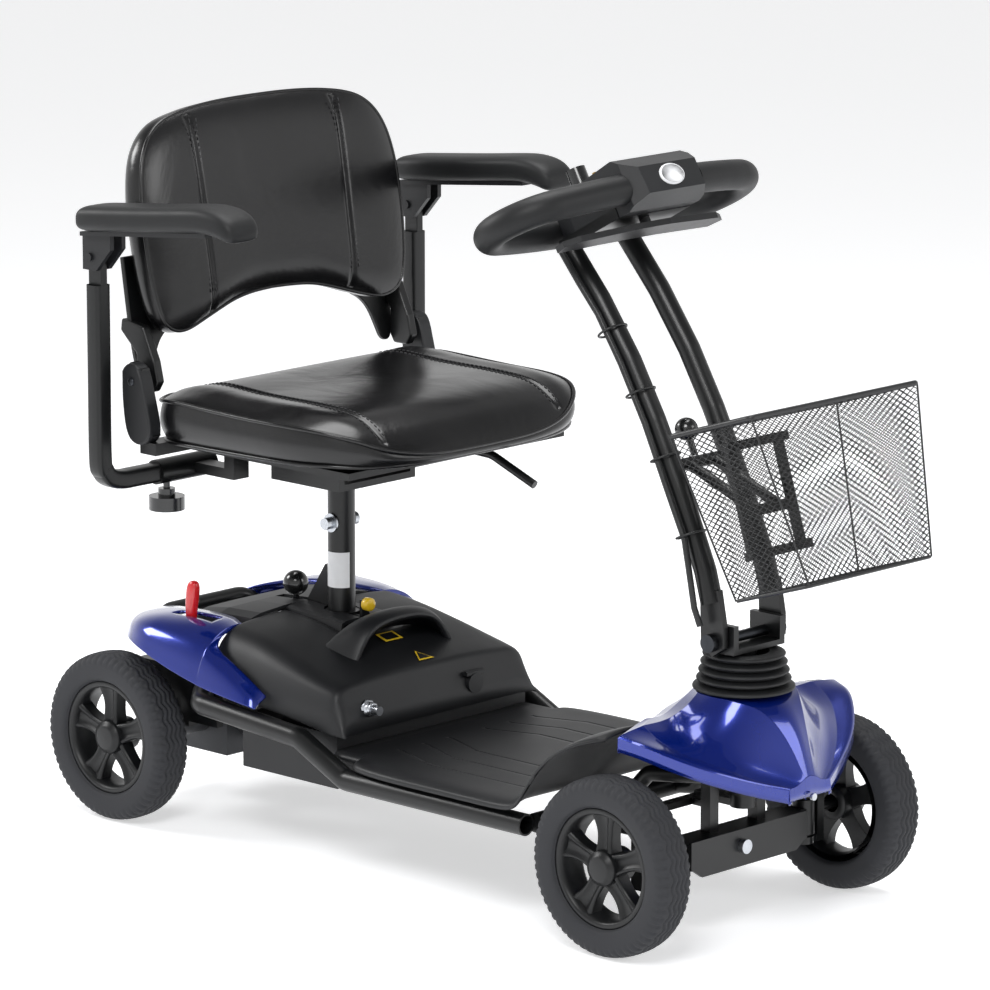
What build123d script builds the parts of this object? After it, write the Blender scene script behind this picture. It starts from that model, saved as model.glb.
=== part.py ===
from build123d import *
from math import cos, hypot, radians, sin, sqrt
import os

# A four-wheeled mobility scooter, in millimetres. +X is forward, +Y is the rider's left, +Z is up.
# Pieces are drawn with x measured from the rear axle and z from the floor; save() then moves each one
# so that the origin is on the floor under the middle of the whole length.

# ---- driving dimensions ----
WHEEL_RADIUS = 100.0
TYRE_WIDTH = 50.0
WHEELBASE = 807.0
REAR_HALF_TRACK = 170.0
FRONT_HALF_TRACK = 190.5
ORIGIN_FROM_REAR_AXLE = 454.1

RAIL_Y = 178.0
RAIL_RADIUS = 12.5
TUBE_WALL = 2.0
DECK_TOP = 142.0
SHELL = 3.5

KINGPIN_Y = 125.0
STEER_ARM = 55.0
STEM_X = 827.0
STEM_RADIUS = 14.0
TIE_ROD_Z = 124.0

PIVOT_X, PIVOT_Z = 826.0, 327.0
TILLER_TUBE_Y = 48.0
TILLER_TUBE_RADIUS = 12.5
LOOP_CENTRE = (637.0, 0.0, 779.0)
LOOP_TILT = 29.0
LOOP_HALF_WIDTH = 187.0
LOOP_HALF_DEPTH = 67.0
LOOP_END_RADIUS = 51.0
GRIP_RADIUS = 17.0

BASKET_TILT = 17.7
BASKET_CORNER = (838.0, 570.0)
BASKET_HEIGHT = 190.0

POST_X = 202.5
POST_RADIUS = 16.0
POST_TOP = 412.0
POST_BOLT_Z = 361.0
SEAT_BASE_Z = 462.0
BACK_PIVOT_X, BACK_PIVOT_Z = 103.0, 545.0
BACK_LEAN = 9.5
ARM_Y = 256.0
ARM_X = 70.0
ARM_TUBE_RADIUS = 10.5
ARM_PIVOT_Z = 689.0
ARM_KNOB_Y = 153.0
ARM_TUBE_Z = 425.0

RUNNING = 0.05
GAP = 0.4

SIDES = {"right": -1, "left": 1}


# ---- helpers ----
def save(node, shape):
    os.makedirs("parts", exist_ok=True)
    export_step(Pos(-ORIGIN_FROM_REAR_AXLE, 0, 0) * shape, f"parts/{node}.step")


def block(x, y, z):
    """A box between a low and a high value on each axis."""
    centre = Pos((x[0] + x[1]) / 2, (y[0] + y[1]) / 2, (z[0] + z[1]) / 2)
    return centre * Box(abs(x[1] - x[0]), abs(y[1] - y[0]), abs(z[1] - z[0]))


def side_block(side, x, y, z):
    """A box on one side of the scooter: y is given as distances from the middle."""
    return block(x, (side * y[0], side * y[1]), z)


def rod(start, end, radius):
    """A round bar from one point to another."""
    start, end = Vector(*start), Vector(*end)
    axis = Plane(start, z_dir=end - start)
    return axis * Cylinder(radius, (end - start).length, align=(Align.CENTER, Align.CENTER, Align.MIN))


def tube(points, radius, bend, wall=TUBE_WALL):
    """A round tube along straight runs that are joined by bends."""
    path = FilletPolyline(*points, radius=bend)
    end = Plane(path @ 0, z_dir=path % 0)
    section = end * Circle(radius)
    if wall:
        section -= end * Circle(radius - wall)
    return sweep(section, path)


def mirrored(half):
    """Both sides of a half outline that starts at the middle plane."""
    return [(-y, z) for y, z in reversed(half) if y > 0] + list(half)


def skin(stations):
    """A ruled solid through closed outlines (y, z), one for each x."""
    return loft([Plane.YZ.offset(x) * Polygon(*outline, align=None) for x, outline in stations], ruled=True)


def hood(stations, wall, lip):
    """A moulded cover: a top skin with a lip along its edge.

    Each station is (x, half outline) from the middle to the edge.
    """
    sections = []
    for x, half in stations:
        edge_y, edge_z = half[-1]
        under = [(max(y - wall, 0) if y > wall else y, z - wall) for y, z in half[:-1]]
        inner = under + [(edge_y - wall, edge_z - lip)]
        top = mirrored(half)
        bottom = mirrored([*inner, (edge_y, edge_z - lip)])
        sections.append((x, top + bottom[::-1]))
    return skin(sections)


def envelope(stations, floor_z, grow):
    """The whole space under a cover, grown a little, to cut its neighbours with."""
    sections = []
    for x, half in stations:
        edge_y = half[-1][0] + grow
        raised = [(y if y == 0 else y + grow, z + grow) for y, z in half]
        sections.append((x, mirrored(raised) + [(edge_y, floor_z), (-edge_y, floor_z)]))
    return skin(sections)


def prism(outline, plane, low, high):
    """An outline drawn on a plane, made solid between two heights above it."""
    middle = plane.offset((low + high) / 2)
    return extrude(middle * Polygon(*outline, align=None), amount=(high - low) / 2, both=True)


def plate_xz(outline, y0, y1):
    """A flat plate with an outline (x, z), between two y values."""
    return prism(outline, Plane.XZ, -max(y0, y1), -min(y0, y1))


# ---- wheels ----
def tyre(x, y):
    """A solid rubber tyre with a rounded tread, turned about the axle."""
    half = TYRE_WIDTH / 2
    profile = [(67, -19), (72, -half + 1), (84, -half), (94, -half + 4), (99, -half + 13), (WHEEL_RADIUS, 0)]
    profile += [(r, -w) for r, w in reversed(profile[:-1])]
    section = Plane(origin=(x, y, WHEEL_RADIUS), x_dir=(1, 0, 0), z_dir=(0, 0, 1)) * Polygon(
        *profile, align=None
    )
    return revolve(section, Axis((x, y, WHEEL_RADIUS), (0, 1, 0)))


def rim(x, y, side, bore_radius):
    """A moulded rim: a barrel, a dished web with five windows and a plain hub."""
    barrel = Cylinder(67 - RUNNING, 37) - Cylinder(59, 37)
    web = Pos(0, 0, 9) * Cylinder(59.5, 7)
    spokes = web
    for turn in range(5):
        spokes -= Rot(0, 0, 72 * turn) * Pos(38, 0, 9) * extrude(RegularPolygon(15.5, 6), amount=8, both=True)
    hub = Cylinder(20, 40)
    cap = Pos(0, 0, 21) * Cylinder(19, 3)
    wheel = barrel + spokes + hub + cap - Pos(0, 0, -4) * Cylinder(bore_radius + RUNNING, 34)
    return Pos(x, y, WHEEL_RADIUS) * Rot(-90 * side, 0, 0) * wheel


def wheels():
    for name, side in SIDES.items():
        save(f"rear_tyre_{name}", tyre(0, side * REAR_HALF_TRACK))
        save(f"rear_rim_{name}", rim(0, side * REAR_HALF_TRACK, side, 10))
        save(f"front_tyre_{name}", tyre(WHEELBASE, side * FRONT_HALF_TRACK))
        save(f"front_rim_{name}", rim(WHEELBASE, side * FRONT_HALF_TRACK, side, 6))


# ---- frame ----
def rails():
    for name, side in SIDES.items():
        y = side * RAIL_Y
        points = [
            (112, side * 138, 165),
            (150, y, 165),
            (312, y, 153),
            (387, y, 117),
            (668, y, 117),
        ]
        save(f"rail_{name}", tube(points, RAIL_RADIUS, 22))


def rear_frame():
    """Two bracket plates that hold the transaxle, a cross tube, and the lifting bar behind the seat."""
    cross = rod((112, -120, 165), (112, 120, 165), RAIL_RADIUS)
    frame = cross
    for side in SIDES.values():
        frame += side_block(side, (62, 124), (118, 128), (122, 186))
        frame += side_block(side, (20, 64), (118, 128), (150, 186))
        frame += side_block(side, (-20, 66), (104, 118), (112, 182))
    bar = tube(
        [(20, -78, 178), (-30, -78, 227), (-30, 78, 227), (20, 78, 178)], 9, 26, wall=0
    )
    feet = block((14, 66), (-118, 118), (174, 182)) - block((30, 60), (-60, 60), (170, 190))
    frame -= rod((0, -120, 100), (0, 120, 100), 19 + RUNNING)
    save("rear_frame", frame + bar + feet)


def front_frame():
    """A welded front end: cross tube, two bars, head tube, struts and the axle beam."""
    cross = rod((668, -RAIL_Y + RAIL_RADIUS + GAP, 117), (668, RAIL_Y - RAIL_RADIUS - GAP, 117), 11)
    head = Pos(STEM_X, 0, 200) * (Cylinder(21, 100) - Cylinder(STEM_RADIUS + RUNNING, 100))
    frame = cross
    for side in SIDES.values():
        points = [(668, side * 62, 117), (700, side * 62, 122), (738, side * 56, 166), (822, side * 30, 172)]
        frame += tube(points, 9, 14, wall=0)
        frame += side_block(side, (806, 820), (32, 46), (110, 176))
    collar = Pos(STEM_X, 0, 172) * Cylinder(34, 14) - Pos(STEM_X, 0, 172) * Cylinder(20, 14)
    save("front_frame", frame + collar + head)

    beam = block((800, 838), (-96, 96), (80, 110))
    plate_ends = plate_yz_ends()
    save("axle_beam", beam + plate_ends)


def plate_yz_ends():
    """The two kingpin bosses and the deep front plate of the axle beam."""
    outline = [(-96, 112), (96, 112), (96, 82), (78, 70), (-78, 70), (-96, 82)]
    shape = prism(outline, Plane.YZ, 834, 838)
    for side in SIDES.values():
        arm = side_block(side, (796, 818), (90, 118), (84, 106))
        boss = Pos(WHEELBASE, side * KINGPIN_Y, 95) * Cylinder(13, 40)
        shape += arm + boss
    for side in SIDES.values():
        shape -= Pos(WHEELBASE, side * KINGPIN_Y, 95) * Cylinder(7 + RUNNING, 60)
    return shape


def fasteners():
    """Zinc bolts of the front end: the beam bolt and the nose screw of the fender."""
    bolt = rod((838.2, -12, 93), (845, -12, 93), 8)
    nose = rod((927.5, 0, 163), (931, 0, 163), 4)
    save("frame_bolts", Compound([bolt, nose]))


# ---- steering ----
def knuckles():
    """Kingpin, stub axle and steering arm of each front wheel."""
    for name, side in SIDES.items():
        y = side * KINGPIN_Y
        pin = Pos(WHEELBASE, y, 95) * Cylinder(7, 62)
        cheeks = Pos(WHEELBASE, y, 122) * Cylinder(12, 8) + Pos(WHEELBASE, y, 68) * Cylinder(12, 8)
        upright = side_block(side, (798, 816), (139, 150), (64, 126))
        links = side_block(side, (799, 815), (125, 142), (118, 126)) + side_block(
            side, (799, 815), (125, 142), (64, 72)
        )
        axle = rod((WHEELBASE, side * 146, 100), (WHEELBASE, side * 200, 100), 6)
        arm = block((WHEELBASE - STEER_ARM - 9, WHEELBASE), (y - 9, y + 9), (118, 124))
        arm -= Pos(WHEELBASE - STEER_ARM, y, 121) * Cylinder(4 + RUNNING, 12)
        save(f"knuckle_{name}", pin + cheeks + upright + links + axle + arm)


def tie_rod():
    """The bar between both steering arms, with a tongue that takes the stem's crank pin."""
    x = WHEELBASE - STEER_ARM
    bar = block((x - 7, x + 7), (-KINGPIN_Y - 9, KINGPIN_Y + 9), (124.5, 132))
    tongue = block((x, STEM_X - STEER_ARM + 9), (-8, 8), (124.5, 132))
    tongue -= Pos(STEM_X - STEER_ARM, 0, 128) * Cylinder(4.5, 20)
    pins = []
    for side in SIDES.values():
        pins.append(Pos(x, side * KINGPIN_Y, 122) * Cylinder(4, 12))
    save("tie_rod", bar + tongue + pins[0] + pins[1])


def steering_stem():
    """The stem with its crank at the foot and its yoke on top."""
    stem = rod((STEM_X, 0, 134), (STEM_X, 0, 318), STEM_RADIUS)
    crank = block((STEM_X - STEER_ARM - 9, STEM_X), (-9, 9), (134, 142))
    crank += Pos(STEM_X - STEER_ARM, 0, 131.5) * Cylinder(3.5, 9)
    yoke = block((STEM_X - 22, STEM_X + 22), (-42, 42), (314, 320))
    for side in SIDES.values():
        yoke += side_block(side, (STEM_X - 22, STEM_X + 22), (34, 42), (315, 346))
    yoke -= rod((PIVOT_X, -50, PIVOT_Z), (PIVOT_X, 50, PIVOT_Z), 6 + RUNNING)
    save("steering_stem", stem + crank + yoke)


def bellows():
    """A rubber gaiter of four folds, leaning a little with the stem's swing."""
    profile = [(27, 0), (57, 0), (57, 4)]
    for outer, z in ((51, 12), (49, 22), (46, 32)):
        profile += [(outer - 9, z - 4), (outer, z), (outer, z + 3), (outer - 9, z + 6)]
    profile += [(28, 43), (25, 40)]
    section = Plane(origin=(STEM_X, 0, 268.4), x_dir=(1, 0, 0), z_dir=(0, -1, 0)) * Polygon(
        *profile, align=None
    )
    save("bellows", revolve(section, Axis((STEM_X, 0, 268.4), (0, 0, 1))))


# ---- body panels ----
def wheel_arch_top(x):
    """Height of the moulded arch over a front wheel at one x."""
    return 100 + sqrt(144**2 - (x - WHEELBASE) ** 2)


FENDER = [
    (764, [(0, 254), (30, 252), (55, 246), (75, 238), (88, 234), (98, 230)]),
    (784, [(0, 267), (34, 267), (60, 254), (84, 244), (102, 245), (118, 244)]),
    (806, [(0, 268), (50, 268), (70, 256), (100, 247), (140, 247), (178, 240)]),
    (832, [(0, 268), (57, 268), (74, 254), (102, 234), (140, 231), (174, 235)]),
    (858, [(0, 268), (50, 267), (70, 246), (92, 226), (120, 218), (152, 221)]),
    (884, [(0, 262), (30, 258), (55, 228), (72, 210), (92, 204), (120, 205)]),
    (906, [(0, 236), (16, 226), (30, 200), (45, 190), (60, 187), (76, 188)]),
    (927, [(0, 182), (8, 181), (14, 179), (20, 177), (26, 176), (34, 175)]),
]


def deck():
    narrow = [(0, DECK_TOP), (90, DECK_TOP), (140, DECK_TOP), (154, DECK_TOP), (163, 138)]
    flat = [(0, DECK_TOP), (90, DECK_TOP), (150, DECK_TOP), (174, DECK_TOP), (191, 137)]
    toe_start = (656, [(0, 145), (90, 145), (150, 145), (174, 145), (194, 139)])
    floor = hood([(352, narrow), (392, narrow), (398, flat), (632, flat), toe_start], 5, 6)
    toe = [toe_start]
    for x, middle, out in ((680, 153, 197), (700, 170, 197), (725, 195, 197), (755, 222, 192), (790, 240, 182)):
        arch = wheel_arch_top(x)
        toe.append((x, [(0, middle), (84, middle + 2), (106, arch - 2), (150, arch), (out, arch - 4)]))
    shell = floor + (hood(toe, 5, 6) - envelope(FENDER, 150, GAP))
    for side in SIDES.values():
        shell -= Pos(372, side * 139, DECK_TOP) * Cylinder(7, 30)
    save("deck", shell)


def front_fender():
    shell = hood(FENDER, SHELL, 17)
    nose = [(-34, 160), (34, 160), (34, 175), (20, 177), (0, 181), (-20, 177), (-34, 175)]
    shell += prism(nose, Plane.YZ, 923.5, 927)
    shell -= Pos(STEM_X, 0, 260) * Cylinder(30, 60)
    save("front_fender", shell)


COVER = [
    (154, [(0, 254), (60, 254), (104, 252), (134, 247), (158, 216), (162, 178)]),
    (206, [(0, 250), (60, 250), (104, 247), (138, 240), (159, 206), (163, 176)]),
    (300, [(0, 226), (60, 226), (106, 223), (146, 217), (160, 196), (163, 168)]),
    (344, [(0, 214), (60, 214), (108, 212), (146, 207), (158, 186), (161, 160)]),
    (366, [(0, 160), (60, 160), (110, 160), (146, 159.5), (155, 159), (158, 158.5)]),
]


def rear_fenders():
    """Painted side covers over the rear wheels, from the back of the seat post to the battery."""
    stations = [
        (-38, [(70, 230), (84, 230), (94, 228), (101, 224), (103, 218)]),
        (-8, [(84, 241), (110, 242), (130, 240), (143, 234), (147, 224)]),
        (40, [(98, 251), (130, 253), (160, 251), (178, 244), (183, 228)]),
        (90, [(102, 253), (130, 255), (158, 251), (180, 238), (190, 209)]),
        (128, [(104, 254), (130, 255), (156, 248), (180, 230), (190, 197)]),
        (160, [(118, 250), (134, 250), (156, 240), (178, 220), (189, 190)]),
        (200, [(150, 225), (154, 224), (164, 214), (178, 202), (187, 183)]),
        (246, [(166, 188), (168, 187), (173, 184), (180, 181), (185, 177)]),
    ]
    for name, side in SIDES.items():
        sections = []
        for x, top in stations:
            under = [(y - SHELL * 0.8, z - SHELL) for y, z in top]
            under[0] = (top[0][0], top[0][1] - SHELL)
            outline = [(side * y, z) for y, z in [*top, *reversed(under)]]
            sections.append((x, outline))
        lift_way = block((153.6, 400), (-163.4, 163.4), (140, 400))
        panel = skin(sections) - envelope(COVER, 150, GAP) - lift_way
        if name == "right":
            panel -= block((58, 114), (-138.5, -121.5), (236, 262))
        save(f"rear_fender_{name}", panel)


def rear_shroud():
    """The black middle cover behind the seat post, with slots for the post and the release lever."""
    stations = [
        (-14, [(0, 216), (30, 216), (52, 215), (60, 212), (63, 200)]),
        (30, [(0, 240), (30, 240), (52, 239), (62, 236), (66, 222)]),
        (60, [(0, 250), (40, 250), (80, 249), (92, 247), (96, 229)]),
        (100, [(0, 256), (40, 256), (84, 255), (98, 251), (101, 236)]),
        (150, [(0, 259), (40, 259), (80, 256), (96, 252), (101, 236)]),
    ]
    shell = hood(stations, SHELL, 8)
    tongue = hood(
        [
            (150, [(0, 259), (20, 259), (34, 258), (40, 256), (42, 246)]),
            (243, [(0, 254), (20, 254), (34, 253), (40, 251), (42, 241)]),
        ],
        SHELL,
        8,
    )
    shell = shell + tongue
    shell -= Pos(POST_X, 0, 250) * Cylinder(21, 80)
    shell -= block((98, 142), (-7, 7), (225, 275))
    shell -= block((142, 186), (-4, 4), (225, 275))
    shell -= block((205, 250), (-10, 10), (228, 290))
    save("rear_shroud", shell)


# ---- drive ----
def transaxle():
    """Gearbox, axle tubes with the shaft ends for the wheels, and the motor in front."""
    gearbox = block((-42, 46), (-38, 30), (58, 146))
    tubes = rod((0, -116, 100), (0, 116, 100), 19)
    shaft = rod((0, -166, 100), (0, 166, 100), 10)
    motor = rod((40, 10, 108), (150, 10, 108), 36)
    save("transaxle", gearbox + tubes + shaft + motor)


# ---- battery pack ----
def battery_cover():
    """The black lift-off housing with an arched carrying handle."""
    shell = hood(COVER, SHELL, 2)
    hump = [(-74, 210), (-62, 234), (-40, 253), (0, 260), (40, 253), (62, 234), (74, 210)]
    hollow = [(-54, 200), (-44, 227), (-28, 240), (0, 245), (28, 240), (44, 227), (54, 200)]
    arch_outer = prism(hump, Plane.YZ, 256, 306)
    arch_inner = prism(hollow, Plane.YZ, 270, 310)
    handle = arch_outer - arch_inner - envelope(COVER, 150, 0)
    cover = shell + handle
    cover -= block((100, 254), (-43.5, 43.5), (140, 280))
    cover -= rod((330, 60, 183), (380, 60, 183), 13)
    cover -= rod((330, -112, 183), (380, -112, 183), 6)
    cover -= block((340, 372), (45.5, 74.5), (192, 199))
    save("battery_cover", cover)


def battery_box():
    """The tray of the pack, and the two batteries inside it."""
    tray = block((196, 350), (-155, 155), (95, 158)) - block((200, 346), (-151, 151), (99, 160))
    notch = block((190, 246), (-48, 48), (90, 170))
    save("battery_box", tray - notch + (block((246, 249), (-48, 48), (99, 158))))
    cells = []
    for side in SIDES.values():
        cells.append(side_block(side, (252, 338), (6, 146), (100, 196)))
    save("batteries", Compound(cells))


def battery_fittings():
    cap = rod((353, 60, 183), (362, 60, 183), 11.8) + block((353, 361), (46, 74), (193, 197))
    cap += rod((358, 46, 197), (358, 74, 197), 1.5)
    save("charge_port_cap", cap)
    breaker = rod((350, -112, 183), (376, -112, 183), 5.5)
    save("breaker_button", breaker)


# ---- seat post ----
def seat_post():
    socket = Pos(POST_X, 0, 180) * (Cylinder(20.5, 150) - Cylinder(POST_RADIUS + RUNNING, 150))
    stay = block((125, 184), (-20, 20), (155, 175))
    fin = plate_xz([(142, 250), (186, 250), (186, 306), (178, 306)], -3, 3)
    socket = socket + (stay - Pos(POST_X, 0, 180) * Cylinder(POST_RADIUS + RUNNING, 170)) + fin
    socket -= rod((210, 0, 249), (240, 0, 249), 4.05)
    save("post_socket", socket)

    post = rod((POST_X, 0, 112), (POST_X, 0, POST_TOP), POST_RADIUS)
    post += rod((POST_X, 0, POST_TOP - 7), (POST_X, 0, POST_TOP), 34)
    post -= rod((POST_X + 8, 0, 249), (POST_X + 20, 0, 249), 4.2)
    save("seat_post", post)
    nut = rod((POST_X, -POST_RADIUS - 12, POST_BOLT_Z), (POST_X, -POST_RADIUS - 0.2, POST_BOLT_Z), 7)
    nut += rod((POST_X, -POST_RADIUS - 2.6, POST_BOLT_Z), (POST_X, -POST_RADIUS - 0.2, POST_BOLT_Z), 11)
    head = rod((POST_X, POST_RADIUS + 0.2, POST_BOLT_Z), (POST_X, POST_RADIUS + 7, POST_BOLT_Z), 7.5)
    save("post_bolt", Compound([nut, head]))
    pin = rod((POST_X + POST_RADIUS + 0.5, 0, 249), (246, 0, 249), 4)
    pin += rod((241, 0, 268), (250, 0, 268), 7.5)
    pin += block((238, 242), (-6, 6), (245, 273))
    save("seat_lock_pin", pin)


# ---- seat ----
def seat_base():
    """The steel seat frame: plate, arm receivers and the two hinge ears of the backrest."""
    base = block((132, 392), (-176, 176), (SEAT_BASE_Z, 470))
    base += block((150, 262), (-62, 62), (POST_TOP + GAP, POST_TOP + 8))
    for side in SIDES.values():
        base += side_block(side, (150, 262), (54, 62), (POST_TOP + GAP, SEAT_BASE_Z))
    for side in SIDES.values():
        inner, outer = side * 84, side * 171
        receiver = rod((ARM_X, inner, ARM_TUBE_Z), (ARM_X, outer, ARM_TUBE_Z), ARM_TUBE_RADIUS + 4)
        base += side_block(side, (ARM_X + 12, 142), (96, 120), (ARM_TUBE_Z - 6, ARM_TUBE_Z + 6)) + receiver
        base += side_block(side, (132, 148), (96, 120), (ARM_TUBE_Z - 6, SEAT_BASE_Z))
        base -= rod((ARM_X, inner, ARM_TUBE_Z), (ARM_X, outer, ARM_TUBE_Z), ARM_TUBE_RADIUS + RUNNING)
        base -= Pos(ARM_X, side * ARM_KNOB_Y, ARM_TUBE_Z - 14) * Cylinder(4 + RUNNING, 12)
        ear = plate_xz([(84, 558), (96, 566), (114, 560), (124, 520), (132, 484), (112, 474), (90, 490)],
                       side * 219, side * 231)
        foot = side_block(side, (110, 136), (170, 231), (SEAT_BASE_Z, 476))
        ear -= rod((BACK_PIVOT_X, side * 210, BACK_PIVOT_Z), (BACK_PIVOT_X, side * 240, BACK_PIVOT_Z),
                   6 + RUNNING)
        base += ear + foot
    save("seat_base", base)


def seat_cushion():
    stations = [
        (116, [(0, 528), (90, 530), (170, 529), (196, 516), (192, 480)]),
        (140, [(0, 532), (90, 535), (185, 533), (213, 518), (210, 480)]),
        (230, [(0, 529), (90, 532), (185, 535), (215, 523), (212, 480)]),
        (320, [(0, 530), (90, 532), (185, 534), (214, 524), (210, 480)]),
        (390, [(0, 522), (90, 522), (170, 518), (200, 504), (192, 474)]),
        (420, [(0, 504), (90, 504), (140, 500), (168, 488), (150, 471)]),
        (430, [(0, 490), (70, 490), (110, 488), (134, 483), (120, 475)]),
    ]
    sections = []
    for x, half in stations:
        floor_z = 478 if x < 400 else 473
        outline = mirrored(half) + [(half[-1][0] - 40, floor_z), (-half[-1][0] + 40, floor_z)]
        sections.append((x, outline))
    save("seat_cushion", skin(sections))


def back_plane():
    """The plane of the backrest: its x runs to the left, its y up the lean, its z forward."""
    lean = radians(BACK_LEAN)
    return Plane(origin=(104, 0, 618), x_dir=(0, 1, 0), z_dir=(cos(lean), 0, sin(lean)))


def backrest():
    outline = [(0, 10), (60, 6), (120, -12), (160, -22), (188, -14), (200, 20), (205, 80), (203, 140),
               (189, 186), (162, 214), (116, 226), (60, 231), (0, 232)]
    full = [(-y, v) for y, v in outline[1:-1]][::-1]
    pad = prism(outline + full, back_plane(), -38, 0)
    save("back_cushion", pad)
    frame = None
    for side in SIDES.values():
        leg = plate_xz([(84, 534), (118, 534), (116, 566), (112, 592), (84, 592), (88, 566)],
                       side * 199, side * 211)
        hub = rod((BACK_PIVOT_X, side * 199, BACK_PIVOT_Z), (BACK_PIVOT_X, side * 218, BACK_PIVOT_Z), 13)
        pin = rod((BACK_PIVOT_X, side * 210, BACK_PIVOT_Z), (BACK_PIVOT_X, side * 236, BACK_PIVOT_Z), 6)
        link = side_block(side, (60, 112), (190, 211), (587, 594))
        inner, outer = side * 150, side * 211
        upright = prism([(inner, -26), (outer, -26), (outer, 84), (inner, 84)], back_plane(), -45, -38.3)
        leg += hub + pin + link + upright
        frame = leg if frame is None else frame + leg
    cross = prism([(-152, 58), (152, 58), (152, 84), (-152, 84)], back_plane(), -45, -38.3)
    save("back_frame", frame + cross)


def arms():
    for name, side in SIDES.items():
        y = side * ARM_Y
        points = [(ARM_X, side * 100, ARM_TUBE_Z), (ARM_X, y, ARM_TUBE_Z), (ARM_X, y, 656)]
        post = tube(points, ARM_TUBE_RADIUS, 26)
        head = plate_xz([(ARM_X - 11, 640), (ARM_X + 11, 640), (ARM_X + 11, 700), (ARM_X - 11, 700)],
                        y - 5, y + 5)
        head -= rod((ARM_X, y - 20, ARM_PIVOT_Z), (ARM_X, y + 20, ARM_PIVOT_Z), 5 + RUNNING)
        save(f"arm_post_{name}", post + head)

        cheeks = None
        outline = [(ARM_X - 12, 714), (ARM_X - 12, 674), (ARM_X + 10, 674), (ARM_X + 34, 700), (ARM_X + 34, 719)]
        for shift in (-9, 9):
            cheek = plate_xz(outline, y + shift - 3, y + shift + 3)
            cheeks = cheek if cheeks is None else cheeks + cheek
        bolt = rod((ARM_X, y - 15, ARM_PIVOT_Z), (ARM_X, y + 15, ARM_PIVOT_Z), 5)
        strip = plate_xz([(ARM_X - 10, 713), (ARM_X + 196, 734), (ARM_X + 196, 739), (ARM_X - 10, 718)],
                         y - 18, y + 18)
        save(f"arm_bracket_{name}", cheeks + bolt + strip)
        pad_line = [(ARM_X - 10, 718), (ARM_X + 200, 739), (ARM_X + 234, 731), (ARM_X + 242, 740),
                    (ARM_X + 226, 761), (ARM_X + 190, 769), (ARM_X - 4, 748), (ARM_X - 12, 738)]
        save(f"arm_pad_{name}", plate_xz(pad_line, y - 27, y + 27) - cheeks - strip)

        foot = (ARM_X, side * ARM_KNOB_Y)
        knob = rod((*foot, 379), (*foot, 395), 21) + rod((*foot, 390), (*foot, 404), 10)
        knob += rod((*foot, 400), (*foot, ARM_TUBE_Z - ARM_TUBE_RADIUS - GAP), 4)
        save(f"arm_knob_{name}", knob)


def seat_lever():
    rod_line = [(290, 70, 457), (372, 76, 452), (432, 84, 424)]
    lever = tube(rod_line, 5, 30, wall=0)
    save("swivel_lever", lever + rod((290, 70, 452), (290, 70, 461), 9))


# ---- levers ----
def levers():
    red = block((80, 90), (-134, -126), (214, 262)) + block((78, 92), (-137, -123), (256, 286))
    red += rod((85, -137, 214), (85, -123, 214), 8)
    save("freewheel_lever", red)
    release = rod((126, 0, 200), (126, 0, 268), 4) + Pos(126, 0, 275) * Sphere(15)
    release += rod((126, -12, 200), (126, 12, 200), 7)
    save("release_lever", release)


# ---- tiller ----
def loop_plane():
    tilt = radians(LOOP_TILT)
    return Plane(origin=LOOP_CENTRE, x_dir=(cos(tilt), 0, sin(tilt)), z_dir=(-sin(tilt), 0, cos(tilt)))


def tiller_frame():
    """Two bent tubes with ears at the foot and the head plate welded across their tops."""
    frame = None
    for side in SIDES.values():
        y = side * TILLER_TUBE_Y
        points = [(822, y, 370), (812, y, 405), (774, y, 489), (737, y, 561), (700, y, 623), (655, y, 684),
                  (607, y, 738)]
        bar = tube(points, TILLER_TUBE_RADIUS, 60)
        ear = plate_xz([(810, 322), (826, 311), (842, 322), (842, 345), (834, 386), (808, 386)],
                       y - 4, y + 4)
        ear -= rod((PIVOT_X, y - 10, PIVOT_Z), (PIVOT_X, y + 10, PIVOT_Z), 6 + RUNNING)
        part = bar + ear
        frame = part if frame is None else frame + part
    plate = loop_plane() * (Pos(0, 0, -20) * Box(96, 116, 12) - Pos(30, 0, -20) * Cylinder(6 + RUNNING, 14))
    rung = rod((762, -TILLER_TUBE_Y, 512), (762, TILLER_TUBE_Y, 512), 7)
    save("tiller_frame", frame + plate + rung)
    shank = rod((PIVOT_X, -58, PIVOT_Z), (PIVOT_X, 58, PIVOT_Z), 6)
    heads = rod((PIVOT_X, -60, PIVOT_Z), (PIVOT_X, -52.2, PIVOT_Z), 10) + rod(
        (PIVOT_X, 52.2, PIVOT_Z), (PIVOT_X, 60, PIVOT_Z), 10
    )
    save("tiller_pivot_bolt", shank + heads)
    save("tiller_lock_knob", rod((752.7, 0, 516.6), (742, 0, 540), 4) + Pos(740, 0, 544.4) * Sphere(13))


def console_shape():
    profile = [(-46, -13), (-46, 13), (8, 30), (64, 34), (90, 16), (92, -16), (64, -26), (10, -24), (-40, -13)]
    trim = [(-60, -46), (-20, -57), (74, -57), (93, -44), (93, 44), (74, 57), (-20, 57), (-60, 46)]
    body = prism(profile, Plane.XZ, -57, 57) & prism(trim, Plane.XY, -60, 60)
    return loop_plane() * (body - Pos(0, 0, -20) * Box(96.4, 116.4, 12.4))


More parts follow.
